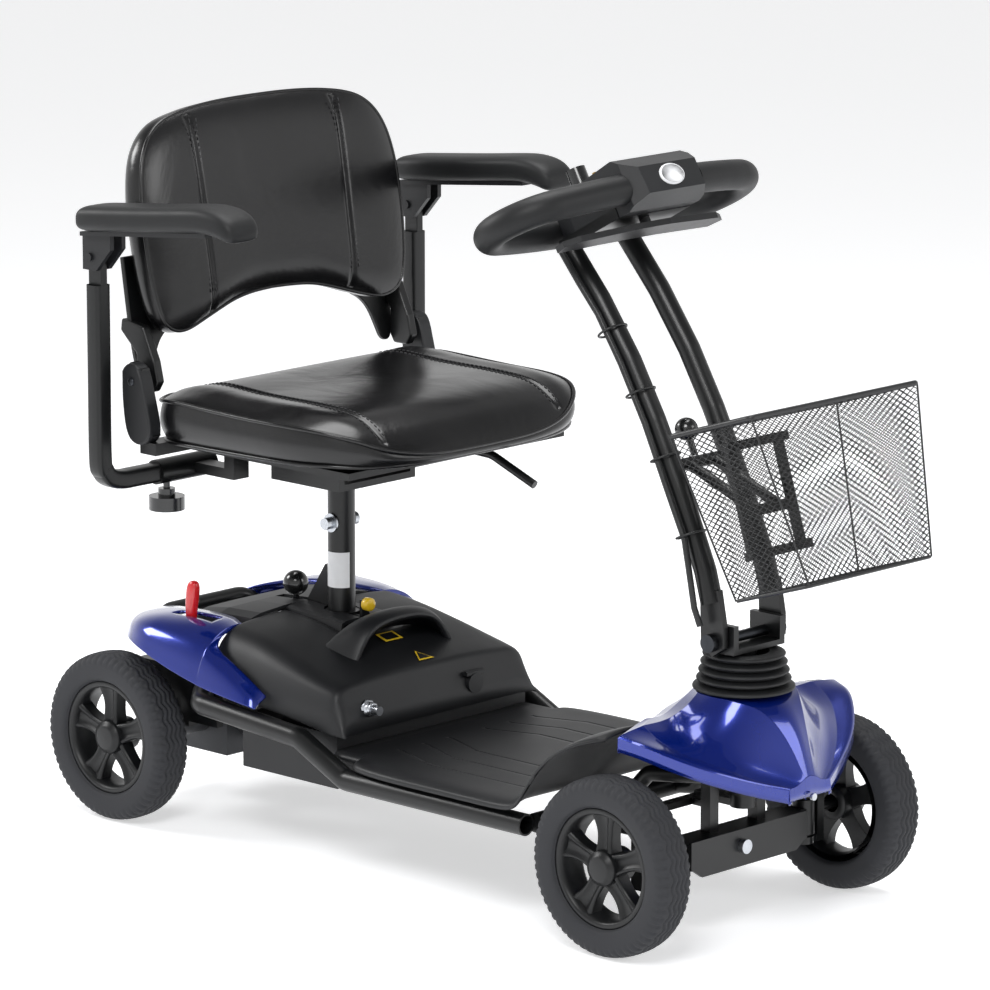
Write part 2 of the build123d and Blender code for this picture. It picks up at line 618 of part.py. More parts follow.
def oval_path():
    """A four-arc oval: two tight ends and two long flat arcs."""
    end_radius = LOOP_END_RADIUS
    a, b = LOOP_HALF_WIDTH, LOOP_HALF_DEPTH
    side_radius = (a * a + b * b - 2 * a * end_radius) / (2 * (b - end_radius))
    small, big = a - end_radius, side_radius - b
    slope = hypot(small, big)
    u, v = end_radius * big / slope, small + end_radius * small / slope
    return [
        ThreePointArc((u, -v), (b, 0), (u, v)),
        ThreePointArc((u, v), (0, a), (-u, v)),
        ThreePointArc((-u, v), (-b, 0), (-u, -v)),
        ThreePointArc((-u, -v), (0, -a), (u, -v)),
    ]


def steering_head():
    path = loop_plane() * Wire(oval_path())
    section = Plane(path @ 0, z_dir=path % 0) * Circle(GRIP_RADIUS)
    sockets = Pos(-8, -34, 25) * Cylinder(3 + RUNNING, 30) + Pos(-20, 12, 25) * Cylinder(3 + RUNNING, 30)
    console = console_shape() - loop_plane() * sockets
    ring = sweep(section, path)
    save("console_housing", console)
    save("steering_loop", ring - loop_plane() * Pos(65, 0, 0) * Box(90, 115, 60))
    dial = Pos(-8, -34, 42) * Cylinder(11, 22) + Pos(-8, -34, 23) * Cylinder(3, 24)
    save("speed_dial", loop_plane() * dial)
    key = Pos(-20, 12, 24) * Cylinder(3, 24) + Pos(-20, 12, 42) * Box(4, 16, 14)
    save("ignition_key", loop_plane() * key)
    blade = [(10, -30), (4, -122), (22, -128), (34, -110), (44, -24), (44, 24), (34, 110),
             (22, 128), (4, 122), (10, 30)]
    paddle = prism(blade, Plane.XY, -41, -34) + Pos(30, 0, -27) * Cylinder(6, 20)
    save("throttle_paddle", loop_plane() * paddle)


def tiller_cable():
    """The loom from the console down the right tube into the gaiter."""
    y = -TILLER_TUBE_Y - TILLER_TUBE_RADIUS - 5
    points = [(614, y - 2, 736), (640, y - 1, 704), (668, y, 672), (702, y, 622), (738, y, 560), (774, y, 486),
              (798, y - 1, 440), (808, y - 2, 396), (812, y, 366), (818, y + 3, 346)]
    save("tiller_cable", tube(points, 3.5, 12, wall=0))


# ---- basket ----
def basket_plane():
    tilt = radians(BASKET_TILT)
    return Plane(origin=(BASKET_CORNER[0], 0, BASKET_CORNER[1]), x_dir=(cos(tilt), 0, sin(tilt)),
                 z_dir=(-sin(tilt), 0, cos(tilt)))


def basket():
    def ring(depth_low, depth_high, half, z):
        outline = [(depth_low, -half), (depth_high, -half), (depth_high, half), (depth_low, half)]
        return Plane.XY.offset(z) * Polygon(*outline, align=None)

    wall = 2.0
    outer = loft([ring(8, 118, 102, -BASKET_HEIGHT), ring(0, 122, 137, 0)], ruled=True)
    inner = loft([ring(8 + wall, 118 - wall, 102 - wall, -BASKET_HEIGHT + wall),
                  ring(wall, 122 - wall, 137 - wall, 0.01)], ruled=True)
    save("basket", basket_plane() * (outer - inner))
    hook = block((-12, -0.6), (-50, 50), (-30, -20)) + block((-12, -0.6), (-50, 50), (-150, -140))
    for side in SIDES.values():
        hook += side_block(side, (-12, -6), (34, 46), (-150, -20))
    hook += block((-12, -6), (-46, 46), (-104, -92))
    frame = basket_plane() * hook
    stays = rod((762, -20, 512), (859, -20, 474), 6) + rod((762, 20, 512), (859, 20, 474), 6)
    tubes = rod((762, -60, 512), (762, 60, 512), 7 + 0.01)
    save("basket_bracket", frame + (stays - tubes))


wheels()
rails()
rear_frame()
front_frame()
fasteners()
knuckles()
tie_rod()
steering_stem()
bellows()
deck()
front_fender()
rear_fenders()
rear_shroud()
transaxle()
battery_cover()
battery_box()
battery_fittings()
seat_post()
seat_base()
seat_cushion()
backrest()
arms()
seat_lever()
levers()
tiller_frame()
steering_head()
tiller_cable()
basket()
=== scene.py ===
from math import cos, pi, radians, sin

import bpy
import numpy as np
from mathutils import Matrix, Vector


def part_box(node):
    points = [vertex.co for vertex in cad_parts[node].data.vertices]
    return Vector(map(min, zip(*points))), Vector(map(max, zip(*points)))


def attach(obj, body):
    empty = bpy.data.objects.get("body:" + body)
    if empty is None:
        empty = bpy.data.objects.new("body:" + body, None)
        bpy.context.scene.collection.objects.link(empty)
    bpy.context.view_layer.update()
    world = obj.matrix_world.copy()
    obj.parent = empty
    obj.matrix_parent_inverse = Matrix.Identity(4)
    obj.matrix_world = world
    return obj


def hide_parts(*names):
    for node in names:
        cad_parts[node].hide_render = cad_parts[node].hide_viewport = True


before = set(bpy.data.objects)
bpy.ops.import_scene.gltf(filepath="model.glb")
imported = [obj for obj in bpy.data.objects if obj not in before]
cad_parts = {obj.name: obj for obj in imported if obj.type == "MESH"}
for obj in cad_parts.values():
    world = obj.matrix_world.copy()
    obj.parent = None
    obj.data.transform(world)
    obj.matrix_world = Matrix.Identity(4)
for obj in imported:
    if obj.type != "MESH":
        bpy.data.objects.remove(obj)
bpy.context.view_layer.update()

# ---- camera, floor and light ----
# A studio set-up: a long lens from the front right, a pale floor that runs out to a pale sky, and four large
# soft lights. Places are in mm from the rear axle, the middle line and the floor.
scene = bpy.context.scene
REAR_AXLE = (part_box("rear_tyre_right")[0][0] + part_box("rear_tyre_right")[1][0]) / 2


def at(x, y, z):
    """A point given in millimetres: x from the rear axle, y from the middle, z from the floor."""
    return Vector((REAR_AXLE + x / 1000, y / 1000, z / 1000))


def colour(code):
    """An sRGB hex code as linear RGBA."""
    parts = [int(code[i : i + 2], 16) / 255 for i in (1, 3, 5)]
    return [c / 12.92 if c <= 0.04045 else ((c + 0.055) / 1.055) ** 2.4 for c in parts] + [1.0]


def node(tree, kind, links=(), **values):
    """Adds one shader node, sets its sockets and properties, and links its inputs."""
    made = tree.nodes.new("ShaderNode" + kind)
    for name, value in values.items():
        socket = made.inputs.get(name.replace("_", " "))
        if socket is not None:
            socket.default_value = value
        else:
            setattr(made, name, value)
    for name, source in links:
        tree.links.new(source, made.inputs[name])
    return made


def finish(name, dark, light, rough, grain_mm, depth_mm, metal=0.0, coat=0.0, patch_mm=60.0, spread=0.08,
           shine=0.5):
    """A material: two tones in soft patches, uneven gloss, and a grain of a real size in the bump."""
    material = bpy.data.materials.new(name)
    material.use_nodes = True
    tree = material.node_tree
    shader = tree.nodes["Principled BSDF"]
    place = node(tree, "TexCoord").outputs["Object"]
    patches = node(tree, "TexNoise", [("Vector", place)], Scale=1000 / patch_mm, Detail=4.0)
    grain = node(tree, "TexNoise", [("Vector", place)], Scale=1000 / grain_mm, Detail=3.0)
    tone = node(tree, "MixRGB", [("Fac", patches.outputs["Fac"])], Color1=colour(dark), Color2=colour(light))
    gloss = node(tree, "MapRange", [("Value", patches.outputs["Fac"])], To_Min=rough - spread,
                 To_Max=rough + spread)
    bump = node(tree, "Bump", [("Height", grain.outputs["Fac"])], Strength=1.0, Distance=depth_mm / 1000)
    tree.links.new(tone.outputs["Color"], shader.inputs["Base Color"])
    tree.links.new(gloss.outputs["Result"], shader.inputs["Roughness"])
    tree.links.new(bump.outputs["Normal"], shader.inputs["Normal"])
    for socket, value in (("Metallic", metal), ("Coat Weight", coat), ("Specular IOR Level", shine),
                          ("Coat Roughness", 0.06)):
        shader.inputs[socket].default_value = value
    return material


camera = bpy.data.objects.new("camera", bpy.data.cameras.new("camera"))
scene.collection.objects.link(camera)
camera.location = at(5056.4, -4808.7, 1847.2)
camera.rotation_euler = (radians(90 - 12.033), 0, radians(43.771))
camera.data.lens = 218.71
camera.data.sensor_width = 36
camera.data.clip_end = 200
scene.camera = camera
scene.view_settings.view_transform = "Standard"

world = bpy.data.worlds.new("studio")
world.use_nodes = True
sky = world.node_tree
way = node(sky, "TexCoord").outputs["Generated"]
height = node(sky, "SeparateXYZ", [("Vector", way)]).outputs["Z"]
fade = node(sky, "MapRange", [("Value", height)], From_Min=0.12, From_Max=0.75, To_Min=1.0, To_Max=0.22)
sky.links.new(fade.outputs["Result"], sky.nodes["Background"].inputs["Strength"])
sky.nodes["Background"].inputs["Color"].default_value = colour("#FFFFFF")
scene.world = world

# Painted studio floor: dull and nearly white, and it glows a little so that it stays white in the shade.
FLOOR_REACH_M, FLOOR_GLOW = 40.0, 0.52
floor_finish = finish("pale_studio_floor", "#E6E7E9", "#ECEDEF", 0.7, 4.0, 0.02, patch_mm=900, shine=0.2)
floor_shader = floor_finish.node_tree.nodes["Principled BSDF"]
floor_shader.inputs["Emission Color"].default_value = colour("#FFFFFF")
floor_shader.inputs["Emission Strength"].default_value = FLOOR_GLOW
corners = [(u * FLOOR_REACH_M, v * FLOOR_REACH_M, 0) for u, v in ((-1, -1), (1, -1), (1, 1), (-1, 1))]
floor_mesh = bpy.data.meshes.new("floor")
floor_mesh.from_pydata(corners, [], [(0, 1, 2, 3)])
floor = bpy.data.objects.new("floor", floor_mesh)
scene.collection.objects.link(floor)
floor_mesh.materials.append(floor_finish)

for label, spot, aim, wide, watts in (
    ("key", (1.6, -2.2, 2.8), (0.0, 0.0, 0.4), 1.3, 62),
    ("fill", (3.2, 1.4, 1.8), (0.2, 0.0, 0.4), 1.4, 22),
    ("top", (-0.3, 0.4, 3.0), (0.0, 0.0, 0.4), 1.8, 62),
    ("rim", (-2.4, -1.2, 1.9), (0.0, 0.0, 0.6), 0.9, 34),
):
    lamp = bpy.data.lights.new(label, "AREA")
    lamp.size = wide
    lamp.energy = watts
    lamp.use_shadow = True
    holder = bpy.data.objects.new(label, lamp)
    holder.location = spot
    holder.rotation_euler = (Vector(aim) - Vector(spot)).to_track_quat("-Z", "Y").to_euler()
    scene.collection.objects.link(holder)


# ---- frame, front axle and steering links ----
# Steel tubes and plates, welded together and powder-coated satin black. Bright zinc bolts hold the axle beam;
# the knuckles turn on its ends and a tie rod joins them to the stem.
def paint(material, *names):
    """Gives CAD nodes a finish."""
    for name in names:
        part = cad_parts[name]
        for slot in part.material_slots:
            slot.material = material
        if not part.material_slots:
            part.data.materials.append(material)


def soften(width_mm, *names):
    """Rounds the sharp edges of CAD nodes as a mould or a file would."""
    for name in names:
        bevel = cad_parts[name].modifiers.new("edges", "BEVEL")
        bevel.width = width_mm / 1000
        bevel.segments = 3
        bevel.limit_method = "ANGLE"
        bevel.angle_limit = radians(32)
        bevel.harden_normals = False


# Powder coat: deep black with a low sheen, and a 1.2 mm orange peel that breaks up the highlights.
powder_coat = finish("satin_black_powder_coat", "#08090A", "#0D0E0F", 0.34, 1.2, 0.03, patch_mm=90, shine=0.42)
# Zinc plate: bright grey metal with faint uneven patches.
zinc = finish("bright_zinc_plate", "#A9ADB3", "#C9CCD1", 0.28, 1.5, 0.02, metal=1.0, patch_mm=12)
paint(powder_coat, "rail_right", "rail_left", "rear_frame", "front_frame", "axle_beam", "knuckle_right",
      "knuckle_left", "tie_rod", "steering_stem", "post_socket")
soften(1.2, "axle_beam", "rear_frame", "steering_stem", "post_socket", "knuckle_right", "knuckle_left",
       "tie_rod")
paint(zinc, "frame_bolts")
soften(0.8, "frame_bolts")


# ---- drive ----
# Gearbox, motor and axle tubes: one cast alloy housing held between the rear brackets.
# Cast alloy: dull dark grey metal with a 2.5 mm sand-cast grain.
cast = finish("cast_gearbox_alloy", "#3A3B3D", "#4C4D50", 0.5, 2.5, 0.12, metal=0.7)
paint(cast, "transaxle")
soften(5.0, "transaxle")


# ---- wheels ----
# Solid rubber tyres with a wavy tread and cut shoulders, pressed on moulded rims with five spokes that
# carry two ribs each.
AXLE_HEIGHT, TREAD_WAVES, SHOULDER_CUTS, SPOKES = 100, 30, 60, 5

# Tyre rubber: matt dark grey with a fine 0.9 mm skin. Rim: satin black moulded plastic.
tyre_rubber = finish("matt_tyre_rubber", "#222326", "#2E2F33", 0.66, 0.9, 0.08, patch_mm=30, shine=0.35)
rim_plastic = finish("satin_moulded_rim", "#0C0D0E", "#121315", 0.4, 0.8, 0.03, patch_mm=40, shine=0.4)


def piece(name, points, faces, material, body, smooth=True):
    """A new object from points in metres that rides on a CAD body."""
    faces = faces.tolist() if isinstance(faces, np.ndarray) else faces
    mesh = bpy.data.meshes.new(name)
    mesh.from_pydata(np.array(points, float).tolist(), [], faces)
    mesh.polygons.foreach_set("use_smooth", [smooth] * len(mesh.polygons))
    mesh.update()
    made = bpy.data.objects.new(name, mesh)
    scene.collection.objects.link(made)
    made.data.materials.append(material)
    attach(made, body)
    return made


def placed(points):
    """Points in mm from the rear axle as rows of metres in the shared frame."""
    return points.reshape(-1, 3) / 1000 + np.array([REAR_AXLE, 0, 0])


def grid_faces(rows, columns, wrap_rows=False, wrap_columns=False):
    """Quads (i, j), (i, j + 1), (i + 1, j + 1), (i + 1, j) of a grid of points stored row by row, where a
    wrapped side joins its last line to its first."""
    i = np.arange(rows if wrap_rows else rows - 1)[:, None]
    j = np.arange(columns if wrap_columns else columns - 1)[None, :]
    far, right = (i + 1) % rows * columns, (j + 1) % columns
    return np.stack([i * columns + j, i * columns + right, far + right, far + j], -1).reshape(-1, 4)


def joined(parts):
    """Pairs of (points, faces) as one mesh, each one's faces counted on from the points before it."""
    starts = np.cumsum([0] + [len(points) for points, _ in parts[:-1]])
    faces = [faces + start for (_, faces), start in zip(parts, starts)]
    return np.concatenate([points for points, _ in parts]), np.concatenate(faces)


def smooth_line(points, count):
    """Points along a Catmull-Rom curve through given points, as an array."""
    p = np.array(points, float)
    p = np.vstack([2 * p[0] - p[1], p, 2 * p[-1] - p[-2]])
    t = np.linspace(0, len(points) - 1 - 1e-9, count)
    k = np.floor(t).astype(int)
    f = (t - k)[:, None]
    a, b, c, d = p[k], p[k + 1], p[k + 2], p[k + 3]
    return 0.5 * (2 * b + (c - a) * f + (2 * a - 5 * b + 4 * c - d) * f**2 + (3 * b - a - 3 * c + d) * f**3)


def spun(line, turn):
    """A profile of (radius, width) turned about the wheel's axle: (r cos a, w, r sin a)."""
    r, w = line[:, 0][None, :], line[:, 1][None, :]
    return np.stack([r * np.cos(turn), np.broadcast_to(w, (len(turn), len(line))), r * np.sin(turn)], -1)


def tyre_points(x, y):
    """radius = profile(w) - grooves, where a groove follows w = w_k + 2 sin(30 angle) mm on the tread,
    and 60 cuts run across each shoulder."""
    half = smooth_line([(67, -18.6), (71, -23.2), (82, -24.8), (91, -24.2), (96.5, -20), (99, -13), (99.8, -6),
                        (100, 0)], 34)
    profile = np.vstack([half, half[-2::-1] * (1, -1)])
    angle = np.linspace(0, 2 * pi, 600, endpoint=False)[:, None]
    r, w = profile[:, 0][None, :], profile[:, 1][None, :]
    cut = np.zeros((600, profile.shape[0]))
    for middle in (-10.5, -3.5, 3.5, 10.5):
        away = np.abs(w - middle - 2.0 * np.sin(TREAD_WAVES * angle))
        cut = np.maximum(cut, np.clip(1.6 - away, 0, 0.8) / 0.8)
    shoulder = (np.abs(w) > 15.5) & (r > 88)
    sipe = np.clip(0.35 - np.abs(((angle * SHOULDER_CUTS / (2 * pi)) % 1) - 0.5), 0, 0.12) / 0.12
    cut = np.maximum(cut * (r > 96), shoulder * (1 - sipe) * 0.8)
    radius = r - 1.9 * cut
    points = np.stack([radius * np.cos(angle), np.broadcast_to(w, radius.shape), radius * np.sin(angle)], -1)
    return points.reshape(-1, 3) / 1000 + np.array(at(x, y, AXLE_HEIGHT)), (600, profile.shape[0])


def rim_parts(x, y, side):
    """Turned barrel and hub, and five lofted spokes: half width = 9.5 + 2.5 (1 - s)^3 + 8.5 s^3 mm along the
    spoke, and front = 10.5 - 2.5 sin(pi s) mm + two bell-shaped ribs 4.2 mm high."""
    turn = np.linspace(0, 2 * pi, 96, endpoint=False)[:, None]
    barrel = np.array([(67, -18), (67, 18), (65.5, 19), (62, 19), (60, 17.5), (58.5, 13), (57, 9), (57, -13),
                       (60, -18)])
    hub = np.array([(10.5, -18), (19, -18), (20, -15), (20, 16), (19, 19), (15.5, 20), (14.8, 21.6), (12, 22.2),
                    (0.2, 22.4)])
    parts = [(spun(line, turn).reshape(-1, 3), grid_faces(96, len(line), True)) for line in (barrel, hub)]
    run = np.linspace(0, 1, 20)[:, None]
    radius = 17 + 42 * run
    half_width = 9.5 + 2.5 * (1 - run) ** 3 + 8.5 * run**3
    loop = np.linspace(0, 2 * pi, 40, endpoint=False)[None, :]
    across = np.clip(1.25 * np.cos(loop), -1, 1)
    ribs = np.exp(-(((np.abs(across) - 0.72) / 0.26) ** 2))
    front = 10.5 - 2.5 * np.sin(pi * run) + 4.2 * ribs
    lift = 2.2 * np.sin(loop)
    depth = np.where(np.sin(loop) > 0, front * np.clip(lift, 0, 1), 4 * np.clip(lift, -1, 0))
    u, v = radius * np.ones_like(loop), half_width * across
    for k in range(SPOKES):
        a = 2 * pi * k / SPOKES + 0.35
        spoke = np.stack([u * cos(a) - v * sin(a), depth, u * sin(a) + v * cos(a)], -1)
        parts.append((spoke.reshape(-1, 3), grid_faces(20, 40, False, True)))
    points, faces = joined(parts)
    return points * np.array([0.001, 0.001 * side, 0.001]) + np.array(at(x, y, AXLE_HEIGHT)), faces


for name, axle_x, offset in (("rear", 0, 170), ("front", 807, 190.5)):
    for label, side in (("right", -1), ("left", 1)):
        tread, shape = tyre_points(axle_x, side * offset)
        tyre = piece(f"{name}_tread_{label}", tread, grid_faces(*shape, True), tyre_rubber,
                     f"{name}_wheel_{label}")
        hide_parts(f"{name}_tyre_{label}")
        points, faces = rim_parts(axle_x, side * offset, side)
        rim = piece(f"{name}_spokes_{label}", points, faces, rim_plastic, f"{name}_wheel_{label}")
        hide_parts(f"{name}_rim_{label}")


# ---- rear shroud ----
# The cover over the drive behind the seat post: injection-moulded black plastic, its edges rounded by the
# mould.
# Grained plastic: near black, half matt. The 0.9 mm grain softens every highlight.
textured = finish("fine_grained_black_plastic", "#101113", "#16171A", 0.46, 0.9, 0.07, patch_mm=70, shine=0.42)
paint(textured, "rear_shroud")
soften(2.0, "rear_shroud")


# ---- front fender ----
# One moulded shell over the front wheels, lacquered metallic blue, with a crease down each side of its nose
# and a lip turned down all round. The steering stem comes up through its middle.
def rounded(rows, axis, times):
    """Cuts the corners of rows of points along one axis of the grid, keeping both ends."""
    rows = np.moveaxis(rows, axis, 0)
    for _ in range(times):
        near, far = 0.75 * rows[:-1] + 0.25 * rows[1:], 0.25 * rows[:-1] + 0.75 * rows[1:]
        inner = np.stack([near, far], 1).reshape(-1, *rows.shape[1:])
        rows = np.concatenate([rows[:1], inner[1:-1], rows[-1:]])
    return np.moveaxis(rows, 0, axis)


def moulded(name, stations, material, body, wall_mm, lip, mirror=True, side=1, drop=None, close=None,
            crisp=(), folds=()):
    """A moulded panel through stations (x, half outline from the middle out), its corners rounded both
    ways, with a lip turned down along its edge and a wall thickness to the inside. Crisp lines and folds
    are points and stations taken twice, which keeps their edge tight. Faces in the drop area are cut out."""
    rows = []
    for x, half in stations:
        half = [p for k, p in enumerate(half) for _ in range(1 + crisp.count(k))]
        edge_y, edge_z = half[-1]
        line = [(x, side * y, z) for y, z in half] + [(x, side * edge_y, edge_z - lip)]
        if mirror:
            line = [(x, -y, z) for _, y, z in reversed(line[1:])] + line
        rows += [line] * (2 if x in folds else 1)
    grid = np.array(rows, float)
    if close:
        last = grid[-1].copy()
        last[:, 0] += 1.5
        last[:, 2] = np.minimum(last[:, 2], close)
        grid = np.concatenate([grid, last[None]])
    grid = rounded(rounded(grid, 0, 3), 1, 3)
    points = placed(grid)
    faces = grid_faces(*grid.shape[:2])
    faces = faces[:, ::-1] if side > 0 else faces
    if drop:
        middles = points[faces].mean(1)
        faces = faces[~drop((middles[:, 0] - REAR_AXLE) * 1000, middles[:, 1] * 1000)]
    made = piece(name, points, faces, material, body)
    wall = made.modifiers.new("wall", "SOLIDIFY")
    wall.thickness = wall_mm / 1000
    wall.offset = -1
    return made


# Metallic lacquer: saturated blue under a clear coat, so that lamps show as sharp white streaks. Its 0.35 mm
# flake is too fine to see and only breaks up the gloss.
blue = finish("blue_metallic_lacquer", "#021770", "#042A94", 0.20, 0.35, 0.004, metal=0.55, coat=1.0,
              patch_mm=220, spread=0.03)
FENDER = [
    (764, [(0, 254), (30, 252), (55, 246), (75, 238), (88, 234), (96, 231), (98, 229)]),
    (784, [(0, 267), (34, 267), (60, 254), (84, 244), (102, 245), (114, 246), (118, 244)]),
    (806, [(0, 268), (52, 268), (70, 256), (100, 246), (140, 247), (176, 243), (181, 240)]),
    (832, [(0, 268), (58, 268), (74, 252), (102, 233), (140, 231), (168, 237), (174, 235)]),
    (858, [(0, 268), (52, 267), (70, 245), (92, 226), (120, 217), (147, 223), (152, 221)]),
    (884, [(0, 262), (30, 257), (55, 226), (72, 208), (92, 203), (116, 207), (120, 205)]),
    (906, [(0, 236), (16, 225), (30, 200), (45, 189), (60, 186), (73, 190), (76, 188)]),
    (924, [(0, 186), (8, 184), (14, 181), (20, 178), (26, 177), (32, 177), (34, 175)]),
]
STEM_X, STEM_HOLE = 827, 30
made = moulded("fender_lacquer", FENDER, blue, "chassis", 3, 15,
               drop=lambda x, y: (x - STEM_X) ** 2 + y**2 < STEM_HOLE**2, close=163, crisp=(1, 1, 4, 6),
               folds=(764, 784, 806, 924))
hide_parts("front_fender")


# ---- deck ----
# A thick black moulding that lies on the rails and sweeps up over the front wheels. Three fine grooves run
# along each half of its foot area, splayed towards the back.
DECK_HEIGHT, WHEEL_ARCH = 142, 144
narrow = [(y, DECK_HEIGHT) for y in (0, 90, 140, 154)] + [(163, 138)]
flat = [(y, DECK_HEIGHT) for y in (0, 90, 150, 178)] + [(191, 137)]
toe = [(352, narrow), (388, narrow), (396, narrow), (402, flat), (600, flat),
       (642, [(0, 143), (90, 143), (150, 143), (178, 143), (192, 138)]),
       (662, [(0, 147), (90, 147), (150, 148), (178, 148), (194, 142)])]
for x, middle, out in ((680, 153, 197), (700, 170, 197), (725, 195, 197), (755, 222, 192), (788, 240, 182)):
    arch = AXLE_HEIGHT + (WHEEL_ARCH**2 - (x - 807) ** 2) ** 0.5
    toe.append((x, [(0, middle), (84, middle + 2), (106, arch - 2), (150, arch), (out, arch - 4)]))

# The grained plastic with grooves 7 mm wide and 2 mm deep in its bump, 52, 92 and 132 mm from the middle.
deck_plastic = textured.copy()
deck_plastic.name = "grooved_deck_plastic"
tree = deck_plastic.node_tree
axes = node(tree, "SeparateXYZ", [("Vector", node(tree, "TexCoord").outputs["Object"])])
side_way = node(tree, "Math", [(0, axes.outputs["Y"])], operation="ABSOLUTE").outputs[0]
bend = node(tree, "MapRange", [("Value", axes.outputs["X"])], From_Min=REAR_AXLE + 0.41,
            From_Max=REAR_AXLE + 0.47, To_Min=-0.022, To_Max=0.0).outputs["Result"]
line_y = node(tree, "Math", [(0, side_way), (1, bend)], operation="SUBTRACT").outputs[0]
depth = None
for y in (0.052, 0.092, 0.132):
    away = node(tree, "Math", [(0, line_y)], operation="SUBTRACT")
    away.inputs[1].default_value = y
    away = node(tree, "Math", [(0, away.outputs[0])], operation="ABSOLUTE").outputs[0]
    cut = node(tree, "MapRange", [("Value", away)], From_Min=0.0005, From_Max=0.0034, To_Min=0.0, To_Max=1.0)
    cut = cut.outputs["Result"]
    depth = cut if depth is None else node(tree, "Math", [(0, depth), (1, cut)], operation="MINIMUM").outputs[0]
for edge, far in ((REAR_AXLE + 0.405, REAR_AXLE + 0.402), (REAR_AXLE + 0.632, REAR_AXLE + 0.636)):
    stop = node(tree, "MapRange", [("Value", axes.outputs["X"])], From_Min=edge, From_Max=far).outputs["Result"]
    depth = node(tree, "Math", [(0, depth), (1, stop)], operation="MAXIMUM").outputs[0]
groove = node(tree, "Bump", [("Height", depth)], Strength=1.0, Distance=0.002)
fine = next(n for n in tree.nodes if n.bl_idname == "ShaderNodeBump" and n != groove)
tree.links.new(groove.outputs["Normal"], fine.inputs["Normal"])
made = moulded("deck_moulding", toe, deck_plastic, "chassis", 4, 6)
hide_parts("deck")


# ---- battery pack ----
# A black moulded tray with two batteries and a lid with a hooped hand grip, notched for the seat post. A zinc
# collar rings the breaker button, and the lid has two blank stickers with yellow borders.
paint(textured, "battery_box", "batteries", "charge_port_cap")
soften(2.0, "battery_box", "charge_port_cap")
paint(zinc, "breaker_button")
soften(0.8, "breaker_button")
NOTCH_X, NOTCH_HALF = 254, 43.4
COVER = [
    (154, [(0, 254), (43, 254), (60, 254), (104, 252), (136, 247), (158, 216), (162, 178)]),
    (160, [(0, 254), (43, 254), (60, 254), (104, 252), (136, 247), (158, 216), (162, 178)]),
    (206, [(0, 250), (43, 250), (60, 250), (104, 247), (140, 241), (159, 206), (163, 176)]),
    (254, [(0, 240), (43, 240), (60, 240), (105, 236), (145, 230), (160, 202), (163, 173)]),
    (300, [(0, 226), (43, 226), (60, 226), (106, 224), (148, 219), (160, 196), (163, 168)]),
    (336, [(0, 217), (43, 217), (60, 217), (108, 215), (149, 211), (159, 190), (162, 162)]),
    (345, [(0, 214), (43, 214), (60, 214), (108, 212), (148, 208), (158, 186), (161, 160)]),
    (349, [(0, 204), (43, 204), (60, 204), (108, 203), (146, 200), (157, 182), (160, 160)]),
    (366, [(0, 160), (43, 160), (60, 160), (110, 160), (146, 159.5), (155, 159), (158, 158.5)]),
]
cover = moulded("cover_moulding", COVER, textured, "battery", 3, 2,
                drop=lambda x, y: (x < NOTCH_X) & (abs(y) < NOTCH_HALF))
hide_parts("battery_cover")
cowl = [
    (256, [(0, 243), (34, 243), (62, 240), (84, 235), (98, 227)]),
    (263, [(0, 262), (38, 260), (66, 251), (84, 238), (97, 222)]),
    (282, [(0, 271), (38, 268), (62, 259), (80, 238), (92, 214)]),
    (298, [(0, 270), (36, 267), (60, 257), (76, 236), (88, 212)]),
    (306, [(0, 265), (34, 262), (56, 253), (72, 233), (84, 210)]),
]
moulded("cover_handle", cowl, textured, "battery", 7, 3)


def turned(name, base, axis, profile, material, body, count=48):
    """A piece turned about an axis: base + r (one cos a + two sin a) + w axis, where the profile lists
    (radius r, distance w along the axis) in mm and one and two stand square to the axis."""
    axis = Vector(axis).normalized()
    one = axis.orthogonal().normalized()
    two = axis.cross(one)
    a = np.linspace(0, 2 * pi, count, endpoint=False)[:, None, None]
    r, w = np.array(profile).T[:, :, None] / 1000
    grid = np.array(base) + (np.array(one) * np.cos(a) + np.array(two) * np.sin(a)) * r + np.array(axis) * w
    return piece(name, grid.reshape(-1, 3), grid_faces(count, len(profile), True), material, body)


collar = [(6.1, 9), (7.4, 9), (9.2, 6.5), (9.2, 0), (11, 0), (11, -2), (6.1, -2), (6.1, 9)]
turned("breaker_collar", at(357, -112, 183), (1, 0, 0), collar, zinc, "battery", 6)

# Printed film: flat and even in tone, a little glossier than the plastic under it.
label_yellow = finish("yellow_sticker_border", "#E6BE1E", "#EFCB33", 0.4, 2.0, 0.005, patch_mm=12)
square = [(-9, -14), (9, -14), (9, 14), (-9, 14)]
triangle = [(9, -12), (9, 12), (-11, 0)]
for k, (x, y, z, outline) in enumerate(((278, 2, 234.4, square), (328, 4, 219.6, triangle))):
    for part, grow, lift, material in (("border", 1.0, 0.6, label_yellow), ("field", 0.74, 1.0, textured)):
        points = [at(x + u * grow, y + v * grow, z - 0.3 * u * grow + lift) for u, v in outline]
        piece(f"cover_sticker_{part}_{k}", points, [tuple(range(len(outline)))], material, "battery",
              smooth=False)


